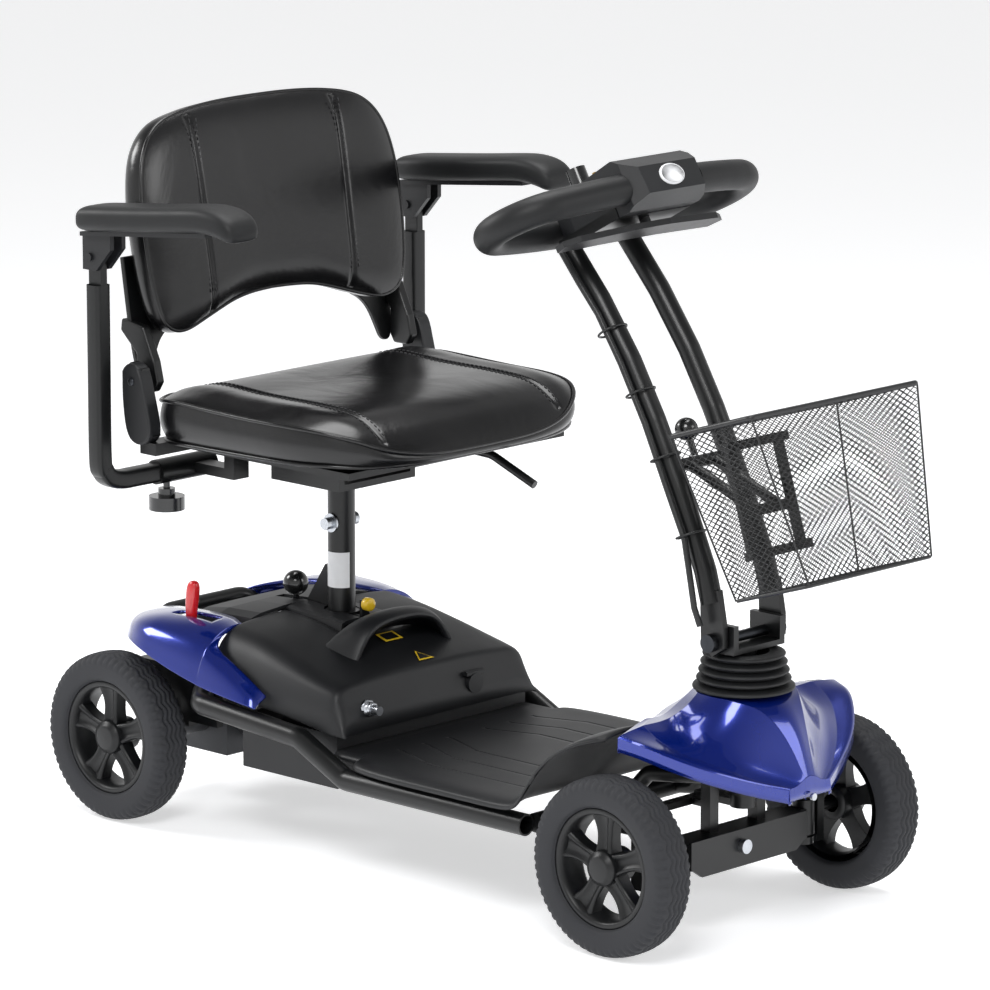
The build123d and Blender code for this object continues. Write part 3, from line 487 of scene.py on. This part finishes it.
# ---- rear fenders ----
# A blue lacquered moulding over each rear wheel, with a black lip where it meets the battery pack. The right
# one has a slot for the red lever.
SLOT_X, SLOT_Y = (60, 128), (122, 138)
for label, side in (("right", -1), ("left", 1)):
    wing = [
        (-40, [(68, 222), (84, 223), (92, 222), (98, 218), (100, 208)]),
        (-38, [(68, 230), (84, 231), (94, 229), (101, 224), (104, 212)]),
        (-8, [(80, 240), (110, 241), (130, 239), (143, 233), (150, 220)]),
        (40, [(98, 249), (130, 251), (160, 249), (177, 241), (185, 222)]),
        (90, [(102, 252), (130, 254), (158, 250), (180, 236), (190, 207)]),
        (128, [(104, 253), (130, 254), (156, 248), (180, 229), (190, 197)]),
        (152, [(114, 250), (134, 250), (158, 241), (178, 223), (189, 191)]),
        (153, [(114, 250), (134, 250), (158, 241), (178, 223), (189, 191)]),
        (154, [(164.5, 234), (168, 231), (174, 226), (181, 218), (189, 190)]),
        (200, [(164.5, 213), (168, 211), (173, 207), (180, 201), (188, 183)]),
        (246, [(166, 188), (168, 187), (173, 184), (180, 181), (185, 177)]),
    ]
    slot = (lambda x, y: (SLOT_X[0] < x) & (x < SLOT_X[1]) & (SLOT_Y[0] < abs(y)) & (abs(y) < SLOT_Y[1]))
    panel = moulded(f"rear_lacquer_{label}", wing, blue, "chassis", 3, 1, False, side,
                    drop=slot if side < 0 else None)
    lip = [(146, [(106, 246), (134, 241), (154, 212), (158, 180)]),
           (168, [(106, 245), (134, 239), (154, 209), (158, 178)])]
    moulded(f"fender_seal_{label}", lip, textured, "chassis", 1.5, 1, False, side)
    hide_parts(f"rear_fender_{label}")


# ---- freewheel and release levers ----
# The red grip of the freewheel lever is moulded on a flat steel arm and swings in the right fender's slot. The
# release lever behind the seat post ends in a black ball.
# Gloss plastic: smooth enough to mirror the lamps, under a thin clear skin.
knob_plastic = finish("gloss_black_knob", "#0E0F10", "#161718", 0.2, 3.0, 0.01, coat=0.4, patch_mm=25)
red = finish("gloss_red_plastic", "#B5121A", "#C81E22", 0.25, 2.0, 0.01, coat=0.5, patch_mm=18)
paint(knob_plastic, "release_lever")


def rounded_square(turn, power_one, power_two):
    """Both sides of a rounded square: sign(cos) |cos|^p across and sign(sin) |sin|^q up."""
    c, s = np.cos(turn), np.sin(turn)
    return np.sign(c) * np.abs(c) ** power_one, np.sign(s) * np.abs(s) ** power_two


turn = np.linspace(0, 2 * pi, 32, endpoint=False)
wide, deep = rounded_square(turn, 0.7, 0.7)
rows = []
for z, half_x, half_y, lean_x in ((212, 6, 5, 0), (236, 6, 5, 0), (252, 6.5, 5.5, 0), (266, 7.5, 6.5, 1),
                                  (280, 7.8, 6.8, 3), (288, 7, 6, 4), (292, 4.5, 4, 4.6), (293.2, 0.2, 0.2, 5)):
    rows.append(np.stack([85 + lean_x + half_x * wide, -130 + half_y * deep, np.full(32, float(z))], -1))
grid = rounded(np.array(rows), 0, 2)
lever = piece("freewheel_grip", placed(grid), grid_faces(len(grid), 32, False, True), red, "freewheel")
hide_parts("freewheel_lever")


# ---- seat post and its lock pin ----
# A powder-coated tube in the socket of the frame, with a zinc bolt through its top, a yellow-capped spring pin
# that locks it, and a blank white film wrapped round its front.
# Printed film: even and pale, with a soft gloss.
label_white = finish("blank_white_label", "#D9DADC", "#E4E5E7", 0.4, 2.0, 0.005, patch_mm=12)
yellow = finish("gloss_yellow_plastic", "#E0B51C", "#EBC630", 0.28, 2.0, 0.01, coat=0.4, patch_mm=18)
paint(powder_coat, "seat_post", "seat_lock_pin")
paint(zinc, "post_bolt")
soften(0.8, "post_bolt")
cap = [(0.1, 1.8), (3, 1.7), (5.8, 1.3), (7.4, 0.6), (7.9, -0.6), (7.9, -7.6), (7.0, -9.4), (0.1, -9.5)]
turned("lock_pin_cap", at(250, 0, 268), (1, 0, 0), cap, yellow, "lock_pin")
POST_X, LABEL_RADIUS = 202.5, 16.35
a, z = np.radians(np.linspace(-140, -10, 25))[None, :], np.array([[284.0], [326.0]])
grid = np.stack(np.broadcast_arrays(POST_X + LABEL_RADIUS * np.cos(a), LABEL_RADIUS * np.sin(a), z), -1)
piece("post_label", placed(grid), grid_faces(2, 25), label_white, "seat_post")


# ---- seat ----
# A foam cushion in black leatherette on a steel base: crowned, squarer at the back, with piped edges and two
# double-stitched seams along it. The cover is sewn and pulled over the shell.
paint(powder_coat, "seat_base", "swivel_lever")
soften(1.2, "seat_base")
SEAT_MIDDLE, SEAT_BACK, SEAT_FRONT, SEAT_HALF = 262.0, 160.0, 171.0, 216.0
FRONT_POWER, BACK_POWER = 3.5, 8.0

# Leatherette: glossy black skin. Its grain is drawn at 1.5 mm, coarser than a real one, so that it shows, and
# slack creases 90 mm apart pull the highlights about.
leatherette = finish("black_leatherette", "#060607", "#0B0B0D", 0.25, 1.5, 0.07, patch_mm=120, spread=0.06)
tree = leatherette.node_tree
grain_bump = next(n for n in tree.nodes if n.bl_idname == "ShaderNodeBump")
spot = node(tree, "TexCoord").outputs["Object"]
creases = node(tree, "TexNoise", [("Vector", spot)], Scale=11.0, Detail=4.0, Distortion=0.7)
pull = node(tree, "Bump", [("Height", creases.outputs["Fac"])], Strength=0.3, Distance=0.005)
tree.links.new(pull.outputs["Normal"], grain_bump.inputs["Normal"])
# Thread: dull twisted polyester, a shade greyer than the skin.
thread = finish("black_thread", "#1C1C1E", "#2A2A2C", 0.6, 0.5, 0.02, patch_mm=8)
seat_profile = smooth_line([(95, 528), (125, 533), (160, 536), (230, 533), (310, 533), (370, 530), (402, 519),
                            (424, 504), (440, 488)], 200)


def seat_reach(x, y):
    """1 on the outline of the seat and 0 in its middle: a superellipse, squarer at the back."""
    ahead = x >= SEAT_MIDDLE
    power = np.where(ahead, FRONT_POWER, BACK_POWER)
    length = np.where(ahead, SEAT_FRONT, SEAT_BACK)
    return (np.abs((x - SEAT_MIDDLE) / length) ** power + np.abs(y / SEAT_HALF) ** power) ** (1 / power)


def seat_top(x, y):
    """Height of the seat's upper skin: profile(x) + crown - edge roll - seam groove."""
    r = np.clip(seat_reach(x, y), 0, 1)
    groove = 3.2 * np.exp(-(((np.abs(y) - 142) / 3.5) ** 2)) * (r < 0.97)
    bolster = 2.5 * np.exp(-(((np.abs(y) - 172) / 18) ** 2))
    return np.interp(x, seat_profile[:, 0], seat_profile[:, 1]) + 1.5 * (1 - r**2) + bolster - 10 * r**9 - groove


def tube(name, points, radius_mm, material, body, closed=False):
    """A round bar or cord along a smooth NURBS curve."""
    curve = bpy.data.curves.new(name, "CURVE")
    curve.dimensions = "3D"
    curve.bevel_depth = radius_mm / 1000
    curve.bevel_resolution = 4
    curve.resolution_u = 6
    curve.use_fill_caps = True
    spline = curve.splines.new("NURBS")
    spline.points.add(len(points) - 1)
    spline.points.foreach_set("co", np.column_stack([points, np.ones(len(points))]).ravel())
    spline.order_u = 3
    spline.use_cyclic_u = closed
    spline.use_endpoint_u = not closed
    made = bpy.data.objects.new(name, curve)
    scene.collection.objects.link(made)
    curve.materials.append(material)
    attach(made, body)
    return made


turn = np.linspace(0, 2 * pi, 420, endpoint=False)
ahead = np.cos(turn) >= 0
power = np.where(ahead, 2 / FRONT_POWER, 2 / BACK_POWER)
along, rim_y = rounded_square(turn, power, power)
rim_x = SEAT_MIDDLE + np.where(ahead, SEAT_FRONT, SEAT_BACK) * along
rim_y = SEAT_HALF * rim_y
rows = []
for r in np.linspace(0.004, 1, 100):
    x, y = SEAT_MIDDLE + (rim_x - SEAT_MIDDLE) * r, rim_y * r
    rows.append(np.stack([x, y, seat_top(x, y)], -1))
edge = rows[-1]
floor_z = np.interp(rim_x, [102, 200, 380, 433], [472.5, 474, 477, 473])
for t in np.linspace(0.06, 1, 16):
    swell = 1 + 0.018 * np.sin(pi * t) - 0.03 * t**4
    rows.append(np.stack([SEAT_MIDDLE + (rim_x - SEAT_MIDDLE) * swell, rim_y * swell,
                          edge[:, 2] + (floor_z - edge[:, 2]) * t], -1))
for r in np.linspace(0.93, 0.004, 20):
    rows.append(np.stack([SEAT_MIDDLE + (rim_x - SEAT_MIDDLE) * r, rim_y * r, floor_z - 0.6], -1))
grid = np.array(rows)
seat = piece("seat_cover", placed(grid), grid_faces(*grid.shape[:2], False, True), leatherette, "seat")
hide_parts("seat_cushion")
for level, height_z, grow in (("top", edge[:, 2] - 1, 1.012), ("low", floor_z + 3, 0.99)):
    ring = np.stack([SEAT_MIDDLE + (rim_x - SEAT_MIDDLE) * grow, rim_y * grow, height_z], -1)[::7]
    tube(f"seat_piping_{level}", placed(ring), 2.4, leatherette, "seat", closed=True)


def stitches(name, path, normal_lift, body):
    """Short thread stitches, 4.6 mm long every 7 mm, laid along a line of points (mm): each is four
    six-sided rings, centre + along s + t (across cos a + normal sin a)."""
    lengths = np.concatenate([[0], np.cumsum(np.linalg.norm(np.diff(path, axis=0), axis=1))])
    places = np.arange(4, lengths[-1] - 4, 7.0)
    centres, ahead = (np.stack([np.interp(places + step, lengths, path[:, k]) for k in range(3)], -1)
                      for step in (0, 1))
    along = (ahead - centres) / np.linalg.norm(ahead - centres, axis=1)[:, None]
    across = np.cross(np.array(normal_lift, float), along)
    across /= np.linalg.norm(across, axis=1)[:, None]
    a = np.arange(6)[:, None] * pi / 3
    around = across[:, None] * np.cos(a) + np.cross(along, across)[:, None] * np.sin(a)
    s, thick = np.array([(-2.3, 0.2), (-1.5, 0.75), (1.5, 0.75), (2.3, 0.2)]).T[:, :, None, None]
    grid = centres[:, None, None] + along[:, None, None] * s + around[:, None] * thick
    starts = 24 * np.arange(len(centres))[:, None, None]
    return piece(name, placed(grid), (starts + grid_faces(4, 6, False, True)).reshape(-1, 4), thread, body)


x = np.linspace(128, 414, 80)
for k, y in enumerate((-147.5, -136.5, 136.5, 147.5)):
    line = np.stack([x, np.full_like(x, y), seat_top(x, np.full_like(x, y)) + 0.4], -1)
    stitches(f"seat_stitch_{k}", line, (0, 0, 1), "seat")


# ---- backrest ----
# A dished foam cushion in the same leatherette, leaning back 9.5 degrees, cut away below the small of the
# back, with a piped edge and two upright double-stitched seams.
BACK = [(0, 10), (60, 6), (120, -12), (160, -22), (188, -12), (200, 20), (205, 80), (203, 140), (190, 186),
        (162, 214), (116, 226), (60, 231), (0, 232)]
loop = np.array(BACK + [(-y, v) for y, v in BACK[-2:0:-1]] + BACK[:2], float)
closed = smooth_line(loop, 421)[:-20]
lean = radians(9.5)
CENTRE = np.array([0.0, 118.0])


def back_point(y, v, w):
    """A point of the backrest from its own plane: y across, v up the lean, w forward."""
    return np.stack([111 - v * sin(lean) + w * cos(lean), y, 618 + v * cos(lean) + w * sin(lean)], -1)


def back_front(y, v, r):
    """Forward height of the front skin: dish + crown - edge roll - seam groove."""
    seam = 115 + 0.02 * (v - 118)
    groove = 3.0 * np.exp(-(((np.abs(y) - seam) / 3.5) ** 2)) * (r < 0.96)
    dish = 12 * (np.abs(y) / 200) ** 2.2 - 1
    return dish + 5 * (1 - r**2) - 11 * r**8 - groove


rows = []
for r in np.linspace(0.004, 1, 100):
    p = CENTRE + (closed - CENTRE) * r
    rows.append(back_point(p[:, 0], p[:, 1], back_front(p[:, 0], p[:, 1], r)))
front_edge = back_front(closed[:, 0], closed[:, 1], 1.0)
for t in np.linspace(0.08, 1, 12):
    p = CENTRE + (closed - CENTRE) * (1 + 0.016 * np.sin(pi * t) - 0.02 * t**3)
    rows.append(back_point(p[:, 0], p[:, 1], front_edge + (-37 + 4 * t - front_edge) * t))
for r in np.linspace(0.95, 0.004, 20):
    p = CENTRE + (closed - CENTRE) * r
    rows.append(back_point(p[:, 0], p[:, 1], np.full(len(closed), -36.0)))
grid = np.array(rows)
back = piece("back_cover", placed(grid), grid_faces(*grid.shape[:2], False, True), leatherette, "backrest")
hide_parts("back_cushion")
ring = back_point(closed[::8, 0] * 1.006, CENTRE[1] + (closed[::8, 1] - CENTRE[1]) * 1.006, front_edge[::8] - 1)
tube("back_piping", placed(ring), 2.2, leatherette, "backrest", closed=True)
v = np.linspace(14, 218, 60)
for k, y in enumerate((-120, -110, 110, 120)):
    line = back_point(np.full_like(v, y), v, back_front(np.full_like(v, y), v, np.full_like(v, 0.7)) + 0.4)
    stitches(f"back_stitch_{k}", line, (cos(lean), 0, sin(lean)), "backrest")


# ---- backrest carriers and hinges ----
# Two pressed steel plates carry the backrest. Each stands on a strut that folds on an ear of the seat, and the
# ear wears a black plastic cap with one dark zinc screw.
def slab(name, outline, low, high, place, material, body, width_mm):
    """A flat plate: a closed outline made solid between two distances, its edges rounded by a bevel."""
    count = len(outline)
    a, b = np.array(outline, float).T
    points = np.array([place(a, b, np.full(count, float(w))) for w in (low, high)])
    faces = [tuple(range(count))[::-1], tuple(range(count, 2 * count))]
    faces += [(k, (k + 1) % count, count + (k + 1) % count, count + k) for k in range(count)]
    made = piece(name, placed(points), faces, material, body, smooth=False)
    edge = made.modifiers.new("edges", "BEVEL")
    edge.width = width_mm / 1000
    edge.segments = 3
    edge.limit_method = "ANGLE"
    edge.angle_limit = radians(25)
    return made


def in_side(a, b, w):
    """A point of an upright plate along the scooter: a forward, b up, w across."""
    return np.stack([a, w, b], -1)


def rounded_loop(outline):
    """A closed outline with its corners cut twice."""
    outline = np.array(outline, float)
    return rounded(np.vstack([outline, outline[:1]]), 0, 2)[:-1]


# Dark zinc: the bright plate passivated almost black, still metallic.
dark_zinc = finish("dark_zinc_bolt", "#2E3033", "#45474B", 0.35, 1.5, 0.02, metal=1.0, patch_mm=10)
gusset = rounded_loop([(208, 70), (209, 0), (208, -40), (204, -72), (196, -80), (186, -76), (180, -58), (172, -38),
                       (160, -24), (140, -14), (140, 70)])
ear = rounded_loop([(86, 556), (94, 565), (106, 566), (116, 558), (124, 528), (134, 492), (128, 476), (108, 471),
                    (92, 482), (86, 520)])
hinge = [(84, 540), (90, 530), (112, 530), (120, 542), (114, 566), (96, 604), (60, 610), (58, 596), (84, 572)]
screw = [(0.1, 2.4), (3.2, 2.4), (4.6, 1.6), (5.0, 0), (5.0, -1)]
for label, side in (("right", -1), ("left", 1)):
    plate = slab(f"back_carrier_{label}", gusset * (side, 1), -46, -39.5, back_point, powder_coat, "backrest", 1.5)
    slab(f"back_hinge_{label}", hinge, side * 200, side * 212, in_side, powder_coat, "backrest", 2.5)
    slab(f"ear_cap_{label}", ear, side * 217.5, side * 237, in_side, textured, "seat", 3.0)
    turned(f"ear_screw_{label}", at(103, side * 237, 545), (0, side, 0), screw, dark_zinc, "seat", 24)
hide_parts("back_frame")


# ---- armrests ----
# Square steel tubes slide in receivers under the seat, locked by knobs, bend upwards and end in a flat tongue.
# The pad is skinned foam on a flip-up plastic bracket.
TUBE_HALF = 10.8
# Foam skin: matt black with a soft 0.7 mm pore.
foam = finish("skinned_foam", "#0C0D0E", "#131416", 0.52, 0.7, 0.08, patch_mm=35, shine=0.35)
paint(textured, "arm_bracket_right", "arm_bracket_left")
paint(knob_plastic, "arm_knob_right", "arm_knob_left")
line = smooth_line([(70, 100, 425), (70, 200, 425), (70, 226, 425.5), (70, 243, 430), (70, 252, 439),
                    (70, 256, 456), (70, 256, 560), (70, 256, 656)], 60)
lead = np.gradient(line, axis=0)
lead /= np.linalg.norm(lead, axis=1)[:, None]
other = np.cross(lead, (1.0, 0, 0))
a, b = rounded_square(np.linspace(0, 2 * pi, 32, endpoint=False), 0.42, 0.42)
post_grid = (line[:, None, :] + TUBE_HALF * a[None, :, None] * np.array([1.0, 0, 0])
             + TUBE_HALF * b[None, :, None] * other[:, None, :])
tongue = [(59.5, 640), (80.5, 640), (80.5, 696), (76, 700), (64, 700), (59.5, 696)]
wide, tall = rounded_square(np.linspace(0, 2 * pi, 40, endpoint=False), 0.55, 0.62)
for label, side in (("right", -1), ("left", 1)):
    post = piece(f"arm_tube_{label}", placed(post_grid * (1, side, 1)), grid_faces(60, 32, False, True),
                 powder_coat, f"arm_{label}")
    slab(f"arm_head_{label}", tongue, side * 251, side * 261, in_side, powder_coat, f"arm_{label}", 1.0)
    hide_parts(f"arm_post_{label}")
    stations = []
    for x, low, high, half in ((58, 726, 738, 20), (60, 720, 745, 25), (70, 719, 749, 28), (110, 722, 753, 29),
                               (180, 729, 760, 29), (240, 736, 767, 28.5), (266, 738, 769, 28), (290, 735, 766, 27),
                               (304, 731, 759, 25), (311, 733, 751, 21), (313, 737, 745, 15)):
        z = (low + high) / 2 + (high - low) / 2 * tall
        stations.append(np.stack([np.full(40, float(x)), side * 256 + half * wide, z], -1))
    grid = rounded(np.array(stations), 0, 3)
    ends = [grid[k : k + 1].mean(1, keepdims=True) + 0 * grid[:1] for k in (0, len(grid) - 1)]
    grid = np.concatenate([ends[0], grid, ends[1]])
    pad = piece(f"arm_foam_{label}", placed(grid), grid_faces(len(grid), 40, False, True), foam,
                f"armrest_{label}")
    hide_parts(f"arm_pad_{label}")


# ---- steering gaiter ----
# A ribbed rubber bellows that closes the gap between the fender and the tiller's foot.
# Gaiter rubber: matt black, with a 1 mm bloom.
gaiter_rubber = finish("matt_gaiter_rubber", "#101112", "#191A1C", 0.55, 1.0, 0.05, patch_mm=20, shine=0.4)
profile = [(29, 270), (56, 268.6), (57, 270.5), (56, 273), (49, 274.5), (45, 275.5)]
for rib in range(4):
    low, wide = 276 + 9.2 * rib, 53 - 2.2 * rib
    profile += [(wide - 9, low), (wide - 2, low + 1.6), (wide, low + 4), (wide - 2, low + 6.4), (wide - 9, low + 8)]
profile += [(34, 311), (28, 310)]
r, z = rounded(np.array(profile, float), 0, 2).T
turn = np.linspace(0, 2 * pi, 96, endpoint=False)[:, None]
grid = np.stack(np.broadcast_arrays(STEM_X + r * np.cos(turn), r * np.sin(turn), z), -1)
gaiter = piece("gaiter", placed(grid), grid_faces(96, len(r), True), gaiter_rubber, "chassis")
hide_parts("bellows")


# ---- tiller ----
# Two bent steel tubes on a pivot bolt with brass washers, held by a ball knob. A vinyl-sheathed cable is tied
# to the right tube in four places.
# Brass: warm worn metal. Sheath: half-matt black vinyl.
brass = finish("worn_brass", "#9A7B3A", "#C7A55C", 0.3, 1.0, 0.02, metal=1.0, patch_mm=6)
sheath = finish("cable_sheath", "#131415", "#1B1C1D", 0.42, 1.0, 0.02, patch_mm=30)
paint(powder_coat, "tiller_frame")
paint(dark_zinc, "tiller_pivot_bolt")
soften(0.8, "tiller_pivot_bolt")
paint(knob_plastic, "tiller_lock_knob")
paint(sheath, "tiller_cable")
a = np.linspace(0, 2 * pi, 16, endpoint=False)[:, None]
for k, (x, z, x2, z2) in enumerate(((678, 653, 700, 623), (720, 590, 737, 561), (757, 523, 774, 489),
                                    (795, 443, 812, 405))):
    out = Vector((0, 1, 0)).cross(Vector((x2 - x, 0, z2 - z)).normalized())
    ring = np.array([x, -52.6, z]) + np.array([0, 19.0, 0]) * np.cos(a) + np.array(out) * 14.6 * np.sin(a)
    tube(f"cable_tie_{k}", placed(ring), 1.3, sheath, "tiller", closed=True)
ring = [(12.5, 1.8), (9.8, 1.8), (9.8, 0.2), (12.5, 0.2), (12.5, 1.8)]
for label, side in (("right", -1), ("left", 1)):
    turned(f"pivot_washer_{label}", at(826, side * 52, 327), (0, -side, 0), ring, brass, "tiller", 40)

# ---- console and steering loop ----
# A black moulded console with a blank oval badge on its front and a smoked gauge window on top, in a
# foam-covered steel loop, with a throttle paddle, a speed dial and a key.
# Smoked window: nearly black and very glossy.
smoked = finish("smoked_gauge_window", "#0A0506", "#1B0A0C", 0.08, 5.0, 0.002, coat=1.0, patch_mm=20)
paint(textured, "console_housing", "throttle_paddle")
soften(4.0, "console_housing")
paint(foam, "steering_loop")
paint(knob_plastic, "speed_dial")
paint(brass, "ignition_key")
loop_tilt = radians(29)
forward, upward = Vector((cos(loop_tilt), 0, sin(loop_tilt))), Vector((-sin(loop_tilt), 0, cos(loop_tilt)))
slope_down = (forward * 2 - upward * 32).normalized()
face_out = np.array((forward * 32 + upward * 2).normalized())
LOOP_CENTRE = at(637, 0, 779)
BADGE_WIDE, BADGE_TALL = 19, 12.5
centre = np.array(LOOP_CENTRE + (forward * 91.2 + upward * 1.5) / 1000)
grow, lift = np.array([(0.88, 0.0019), (0.96, 0.0016), (1.0, 0.0008), (1.0, -0.0010)]).T[:, :, None, None]
a = np.linspace(0, 2 * pi, 48, endpoint=False)[:, None]
oval = (np.array([0, BADGE_WIDE, 0]) * np.cos(a) + np.array(slope_down) * BADGE_TALL * np.sin(a)) / 1000
points = np.vstack([centre + face_out * 0.0020, (centre + oval * grow + face_out * lift).reshape(-1, 3)])
faces = [(0, 1 + k, 1 + (k + 1) % 48) for k in range(48)] + (1 + grid_faces(4, 48, False, True)).tolist()
piece("console_badge", points, faces, label_white, "tiller")
corner = LOOP_CENTRE + (forward * 36 + upward * 33.2) / 1000
points = [corner + (forward * u + Vector((0, 1, 0)) * v + upward * w) / 1000
          for w in (-1.5, 0.8) for u, v in ((-9, -17), (9, -17), (9, 17), (-9, 17))]
faces = [(4, 5, 6, 7), (0, 1, 5, 4), (1, 2, 6, 5), (2, 3, 7, 6), (3, 0, 4, 7)]
piece("console_gauge", points, faces, smoked, "tiller", smooth=False)



# ---- basket ----
# A bag-shaped shopping basket of black coated diamond mesh, welded to a rim wire and a floor wire. It hooks on
# a welded bracket in front of the tiller.
# Coated wire: black with a low gloss.
wire_coat = finish("black_coated_wire", "#141516", "#1D1E20", 0.4, 0.8, 0.02, patch_mm=30)
paint(powder_coat, "basket_bracket")
soften(1.2, "basket_bracket")
tilt = radians(17.7)
DEEP = 189


def basket_point(u, y, w):
    """A point of the basket from its own axes: u forward, y across, w up, in mm from its rear top edge."""
    return (838 + u * cos(tilt) - w * sin(tilt), y, 570 + u * sin(tilt) + w * cos(tilt))


def mesh_wall(a, b, c, d, across, up):
    """Diamonds over a four-sided wall, point = a (1 - s)(1 - t) + b s (1 - t) + c s t + d (1 - s) t: corners
    a and b below, c above b, d above a, and one diamond round every second crossing."""
    a, b, c, d = (np.array(p, float) for p in (a, b, c, d))
    s, t = np.arange(across + 1)[None, :, None] / across, np.arange(up + 1)[:, None, None] / up
    points = a * (1 - s) * (1 - t) + b * s * (1 - t) + c * s * t + d * (1 - s) * t
    i, j = np.mgrid[1:up, 1:across]
    middle = (i * (across + 1) + j)[(i + j) % 2 == 1]
    return points.reshape(-1, 3), middle[:, None] + np.array([-1, -across - 1, 1, across + 1])


top_ring = [(1, -136), (121, -136), (121, 136), (1, 136)]
low_ring = [(9, -101), (117, -101), (117, 101), (9, 101)]
walls = []
for k in range(4):
    q = (k + 1) % 4
    corners = [basket_point(*low_ring[k], -DEEP), basket_point(*low_ring[q], -DEEP),
               basket_point(*top_ring[q], -1), basket_point(*top_ring[k], -1)]
    walls.append(mesh_wall(*corners, 46 if k in (1, 3) else 22, 54))
walls.append(mesh_wall(*[basket_point(*p, -DEEP) for p in low_ring], 20, 60))
points, faces = joined(walls)
net = piece("basket_mesh", placed(points), faces, wire_coat, "basket")
wires = net.modifiers.new("wires", "WIREFRAME")
wires.thickness = 0.0015
wires.use_even_offset = False
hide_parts("basket")
for label, ring, w, thick in (("rim", top_ring, -1, 3.2), ("floor", low_ring, 1 - DEEP, 2.0)):
    path = []
    for k, spot in enumerate(np.array(ring, float)):
        before, after = (np.array(ring[(k + step) % 4]) for step in (-1, 1))
        near = [spot + (end - spot) * 12 / np.hypot(*(end - spot)) for end in (before, after)]
        path += [at(*basket_point(*p, w)) for p in (near[0], spot, near[1])]
    tube(f"basket_{label}_wire", path, thick, wire_coat, "basket", closed=True)
for k, (low, high) in enumerate(zip(low_ring, top_ring)):
    middle = ((low[0] + high[0]) / 2, (low[1] + high[1]) / 2)
    ends = [at(*basket_point(*p, w)) for p, w in ((low, 1 - DEEP), (middle, -95), (high, -2))]
    tube(f"basket_corner_wire_{k}", ends, 1.1, wire_coat, "basket")
